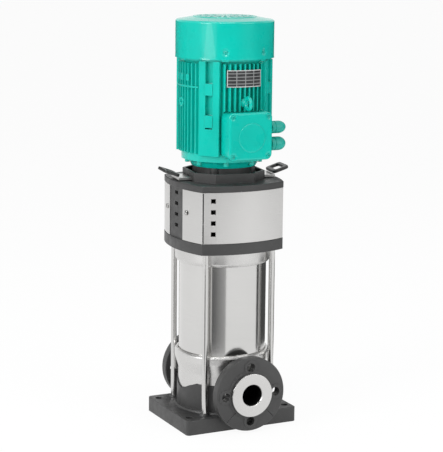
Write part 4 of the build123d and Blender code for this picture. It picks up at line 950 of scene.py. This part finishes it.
# ------------------------------------------------------------------ guards and lugs
def lantern_plan(inset, count):
    """Half of the lantern's bowed outline, from one side pillar round the -Y face to the other.

    The front is an arc through the two corners and the middle of the face; the sides
    are arcs of the same kind, followed back to the guard's edge.
    """
    corner_x, corner_y, bulge_x, bulge_y = 90 * MM, 89 * MM, 107 * MM, 109 * MM

    def arc(chord, rise, along):
        """Height of an arc of a given chord and rise over a place along it."""
        radius = (chord ** 2 + rise ** 2) / (2 * rise)
        return np.sqrt(radius ** 2 - along ** 2) - (radius - rise)

    side_y = np.linspace(-30.5 * MM, -corner_y + 1.2 * MM, count // 4)
    side_x = corner_x + arc(corner_y, bulge_x - corner_x, side_y)
    front_x = np.linspace(-corner_x + 1.2 * MM, corner_x - 1.2 * MM, count)
    front_y = -(corner_y + arc(corner_x, bulge_y - corner_y, front_x))
    t = np.linspace(0, 1, 6)[1:-1, None]
    a, b = np.array([-side_x[-1], side_y[-1]]), np.array([front_x[0], front_y[0]])
    corner = np.array([-corner_x - 0.25 * MM, -corner_y - 0.25 * MM])
    round_left = (1 - t) ** 2 * a + 2 * t * (1 - t) * corner + t ** 2 * b
    round_right = round_left[::-1] * (-1, 1)
    plan = np.concatenate([
        np.stack([-side_x, side_y], -1), round_left, np.stack([front_x, front_y], -1),
        round_right, np.stack([side_x, side_y], -1)[::-1],
    ])
    tangent = np.gradient(plan, axis=0)
    tangent /= np.linalg.norm(tangent, axis=1, keepdims=True)
    normal = np.stack([-tangent[:, 1], tangent[:, 0]], -1)
    return plan + normal * inset


class CouplingGuards(bpy.types.Operator):
    """The two brushed guards: bowed sheets with a fold at each corner and four square openings."""

    bl_idname = "pump.guards"
    bl_label = "Coupling guards"

    def execute(self, context):
        low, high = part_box("coupling_guard_front")
        vent = sizes().vent_size
        middle, pitch, vent_x = 436 * MM, 21.9 * MM, -69 * MM
        rows = [low[2] + 0.2 * MM, low[2] + 1.0 * MM]
        for k in range(4):
            z = middle + (k - 1.5) * pitch
            rows += [z - vent / 2, z + vent / 2]
        rows += [high[2] - 1.0 * MM, high[2] - 0.2 * MM]
        rows = np.array(sorted(rows + list((np.array(rows[1:-2:2]) + np.array(rows[2:-1:2])) / 2)))
        plan = lantern_plan(0.6 * MM, 181)
        back = lantern_plan(2.1 * MM, 181)
        fold = [np.argmin(np.hypot(plan[:, 0] - s * 88.2 * MM, plan[:, 1] + 88.5 * MM)) for s in (-1, 1)]
        outer = np.zeros((len(rows), len(plan), 3))
        outer[..., 0], outer[..., 1], outer[..., 2] = plan[:, 0], plan[:, 1], rows[:, None]
        inner = outer.copy()
        inner[..., 0], inner[..., 1] = back[:, 0], back[:, 1]
        # the columns next to the openings are moved onto their edges
        front = abs(plan[:, 1]) > 89.5 * MM
        edges = []
        for edge in (vent_x - vent / 2, vent_x + vent / 2):
            k = np.where(front, abs(plan[:, 0] - edge), 9.0).argmin()
            outer[:, k, 0], inner[:, k, 0] = edge, edge
            edges.append(k)
        closed = np.ones((len(rows) - 1, len(plan) - 1), bool)
        height = (rows[:-1] + rows[1:]) / 2
        open_rows = np.any([abs(height - middle - (k - 1.5) * pitch) < vent / 2 for k in range(4)], 0)
        column = np.arange(len(plan) - 1)
        closed[np.ix_(open_rows, (column >= edges[0]) & (column < edges[1]))] = False
        # the sheet is slit along its left fold, down to its rims
        closed[1:-1, fold[0]:fold[0] + 2] = False
        points, faces = shell_with_openings(outer, inner, closed)
        for end, turn in (("front", (1, 1, 1)), ("rear", (-1, -1, 1))):
            piece("guard_" + end, [(points * turn, faces)], "guard_steel",
                  node="coupling_guard_" + end, sharp=30)
        return {"FINISHED"}


class LiftingLugs(bpy.types.Operator):
    """The two lug grips: rounded black loops that rise outwards from their steel arms."""

    bl_idname = "pump.lugs"
    bl_label = "Lifting lugs"

    def execute(self, context):
        low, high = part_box("lug_grips")
        turn = math.radians(-9)
        reach, half, slope = 130 * MM, 27.2 * MM, math.radians(19)
        inner, bottom = 97 * MM, low[2]
        length = (reach - inner - 1.0 * MM) / math.cos(slope)
        thick = 6.5 * MM
        outside = rounded_square(length / 2, half, 6.5 * MM, 14)
        inside = rounded_square(length / 2 - 8.5 * MM, half - 8 * MM, 4.5 * MM, 14)
        # a ring section carried from the outside edge over the top, down the slot and back
        t = np.linspace(0, TURN, 20, endpoint=False)
        across = 0.5 - 0.5 * np.sign(np.cos(t)) * abs(np.cos(t)) ** 0.45
        up = thick / 2 * np.sign(np.sin(t)) * abs(np.sin(t)) ** 0.45
        plan = outside[None] * (1 - across[:, None, None]) + inside[None] * across[:, None, None]
        along = (plan[..., 0] + length / 2) * math.cos(slope) - up[:, None] * math.sin(slope)
        rise = (plan[..., 0] + length / 2) * math.sin(slope) + up[:, None] * math.cos(slope)
        grid = np.stack([inner + 1 * MM + along, plan[..., 1], bottom + thick / 2 + 0.3 * MM + rise], -1)
        loops = []
        for side in (0, 1):
            c, s = math.cos(turn + side * math.pi), math.sin(turn + side * math.pi)
            placed = np.stack([c * grid[..., 0] - s * grid[..., 1],
                               s * grid[..., 0] + c * grid[..., 1], grid[..., 2]], -1)
            loops.append(lofted(placed, True))
        piece("lug_loops", loops, "grip_black", node="lug_grips", sharp=50)
        return {"FINISHED"}


class KeptNodes(bpy.types.Operator):
    """Gives every CAD node its finish, and shades its curved faces smooth."""

    bl_idname = "pump.kept_nodes"
    bl_label = "Kept nodes"

    def execute(self, context):
        smooth = smoothing_nodes()
        for record in frame["record"]["subparts"]:
            node = frame["nodes"][record["node"]]
            node.data.materials.clear()
            node.data.materials.append(finishes()[record["material_slot"]])
            weld = node.modifiers.new("weld", "WELD")
            weld.merge_threshold = 2e-6
            shading = node.modifiers.new("smooth", "NODES")
            shading.node_group = smooth
        return {"FINISHED"}


# ------------------------------------------------------------------ studio
class Studio(bpy.types.Operator):
    """A pale floor, soft lights, dark cards seen only in reflections, and the camera."""

    bl_idname = "pump.studio"
    bl_label = "Studio"

    def execute(self, context):
        scene = context.scene
        self.camera(scene)
        self.floor(scene)
        self.world(scene)
        self.lamps(scene)
        self.cards(scene)
        scene.view_settings.view_transform = "Standard"
        return {"FINISHED"}

    def camera(self, scene):
        """A long lens in front and to the left, a little above, looking slightly down."""
        azimuth, pitch, roll = math.radians(-26.423), math.radians(10.608), math.radians(0.565)
        right = Vector((math.cos(azimuth), math.sin(azimuth), 0))
        level = Vector((-math.sin(azimuth), math.cos(azimuth), 0))
        forward = level * math.cos(pitch) - Vector((0, 0, math.sin(pitch)))
        upward = level * math.sin(pitch) + Vector((0, 0, math.cos(pitch)))
        across = right * math.cos(roll) + upward * math.sin(roll)
        upright = upward * math.cos(roll) - right * math.sin(roll)
        data = bpy.data.cameras.new("camera")
        data.lens, data.sensor_width = 127.74, 36.0
        data.clip_end = 200
        camera = bpy.data.objects.new("camera", data)
        scene.collection.objects.link(camera)
        place = -level * 3.19254 + right * -0.002764 + Vector((0, 0, 0.996378))
        turn = Matrix((across, upright, -forward)).transposed()
        camera.matrix_world = Matrix.Translation(place) @ turn.to_4x4()
        scene.camera = camera

    def floor(self, scene):
        n = Nodes("floor_white").bare()
        diffuse = n.add("ShaderNodeBsdfDiffuse")
        glow = n.add("ShaderNodeEmission")
        for shader in (diffuse, glow):
            shader.inputs["Color"].default_value = (*colours().backdrop, 1)
        n.mixed(n.maths("MULTIPLY", n.seen(), 0.92), diffuse, glow, n.out)
        grain = n.noise(40.0)
        dip = n.add("ShaderNodeBump")
        dip.inputs["Distance"].default_value = 0.00002
        n.link(grain, dip.inputs["Height"])
        n.link(dip.outputs["Normal"], diffuse.inputs["Normal"])
        mesh = bpy.data.meshes.new("studio_floor")
        edge = 60.0
        corners = [(-edge, -edge, 0), (edge, -edge, 0), (edge, edge, 0), (-edge, edge, 0)]
        mesh.from_pydata(corners, [], [(0, 1, 2, 3)])
        mesh.materials.append(n.material)
        floor = bpy.data.objects.new("studio_floor", mesh)
        scene.collection.objects.link(floor)

    def world(self, scene):
        world = bpy.data.worlds.new("studio")
        n = Nodes.__new__(Nodes)
        n.clear(world)
        shown, lit = n.add("ShaderNodeBackground"), n.add("ShaderNodeBackground")
        shown.inputs["Color"].default_value = (*colours().backdrop, 1)
        lit.inputs["Color"].default_value = (1.0, 1.0, 1.0, 1)
        lit.inputs["Strength"].default_value = 0.56
        n.mixed(n.seen(), lit, shown, n.add("ShaderNodeOutputWorld"))
        scene.world = world

    def lamps(self, scene):
        """Large soft lamps: a key from the upper left front, a fill from the right, a top light."""
        for name, place, size, power in (
            ("key", (-3.1, -1.0, 1.5), 1.6, 62),
            ("fill", (1.6, -2.8, 1.5), 1.8, 32),
            ("top", (0.2, 0.2, 3.2), 1.6, 16),
            ("spark", (-1.5, -2.0, 2.6), 0.4, 9),
        ):
            data = bpy.data.lights.new(name, "AREA")
            data.size, data.energy = size, power
            lamp = bpy.data.objects.new(name, data)
            lamp.location = place
            aim = Vector((0, 0, 0.42)) - Vector(place)
            lamp.rotation_euler = aim.to_track_quat("-Z", "Y").to_euler()
            scene.collection.objects.link(lamp)

    def cards(self, scene):
        """Grey upright cards that only reflections see: low ones band the steel, high ones the enamel.

        Each is an arc round the pump between two angles, counted from the camera's side.
        """
        facing = math.radians(-116.4)
        for name, foot, head, low, high, greys, power in (
            ("card_front", (-26, 9), (-26, 9), 0.0, 0.272, (0.10, 0.50), 1),
            ("card_right", (96, 165), (96, 165), 0.0, 0.25, (0.08, 0.08), 1),
            ("card_high_left", (-92, -50), (-92, -50), 0.47, 0.83, (0.30, 0.30), 1),
            ("card_high_far_left", (-160, -92), (-160, -92), 0.47, 0.83, (0.10, 0.10), 1),
            ("card_wedge", (-46, -18), (-37, -30), 0.695, 0.80, (1.0, 1.0), 3.2),
            ("card_high_front", (-49, 60), (-49, 60), 0.47, 0.694, (0.02, 0.02), 1),
            ("card_cover_front", (-17, 60), (-17, 60), 0.695, 0.83, (0.02, 0.02), 1),
            ("card_high_right", (60, 165), (60, 165), 0.47, 0.83, (0.02, 0.02), 1),
            ("card_streak_left", (-43, -22), (-43, -22), 1.25, 1.75, (1.0, 1.0), 9),
            ("card_streak_right", (-6, 29), (-6, 29), 1.25, 1.75, (1.0, 1.0), 9),
        ):
            n = Nodes(name + "_grey").bare()
            glow = n.add("ShaderNodeEmission")
            split = n.add("ShaderNodeSeparateXYZ")
            n.link(n.coords, split.inputs["Vector"])
            ends = [0.62 * math.cos(facing + math.radians(a)) for a in foot]
            along = n.ramp(split.outputs["X"], 0.0, 1.0, min(ends), max(ends))
            along = n.maths("ADD", along, n.ramp(n.noise(3.0), -0.03, 0.03))
            n.link(n.mix(along, (greys[0],) * 3, (greys[1],) * 3), glow.inputs["Color"])
            glow.inputs["Strength"].default_value = power
            n.link(glow.outputs[0], n.out.inputs["Surface"])
            rows = []
            for (start, end), z in ((foot, low + 0.004), (head, high)):
                angles = facing + np.radians(np.linspace(start, end, 16))
                rows.append(np.stack([0.62 * np.cos(angles), 0.62 * np.sin(angles), np.full(16, z)], -1))
            grid = np.stack(rows)
            mesh = mesh_from(name, grid, ring_faces(2, 16, False, False))
            mesh.materials.append(n.material)
            card = bpy.data.objects.new(name, mesh)
            scene.collection.objects.link(card)
            card.visible_camera = card.visible_diffuse = card.visible_shadow = False
            card.visible_transmission = False


# ------------------------------------------------------------------ add-on
class PumpPanel(bpy.types.Panel):
    """Lists the pump's operators, sizes and colours."""

    bl_idname = "VIEW3D_PT_pump"
    bl_label = "Vertical multistage pump"
    bl_space_type = "VIEW_3D"
    bl_region_type = "UI"
    bl_category = "Pump"

    def draw(self, context):
        for kind in OPERATORS:
            self.layout.operator(kind.bl_idname)
        for group in (context.scene.pump_sizes, context.scene.pump_colours):
            for key in type(group).__annotations__:
                self.layout.prop(group, key)


OPERATORS = (KeptNodes, PumpHousing, Socket, FrameBosses, OuterSleeve, CouplingGuards, LiftingLugs,
             MotorFlange, MotorCover, TerminalBox, Screws, CableGlands, LiftingEye, Studio)
CLASSES = (PumpSizes, PumpColours, *OPERATORS, PumpPanel)


def register():
    for kind in CLASSES:
        bpy.utils.register_class(kind)
    bpy.types.Scene.pump_sizes = PointerProperty(type=PumpSizes)
    bpy.types.Scene.pump_colours = PointerProperty(type=PumpColours)


def unregister():
    del bpy.types.Scene.pump_sizes
    del bpy.types.Scene.pump_colours
    for kind in reversed(CLASSES):
        bpy.utils.unregister_class(kind)


def main():
    register()
    for kind in OPERATORS:
        group, name = kind.bl_idname.split(".")
        getattr(getattr(bpy.ops, group), name)()


if __name__ == "__main__":
    main()
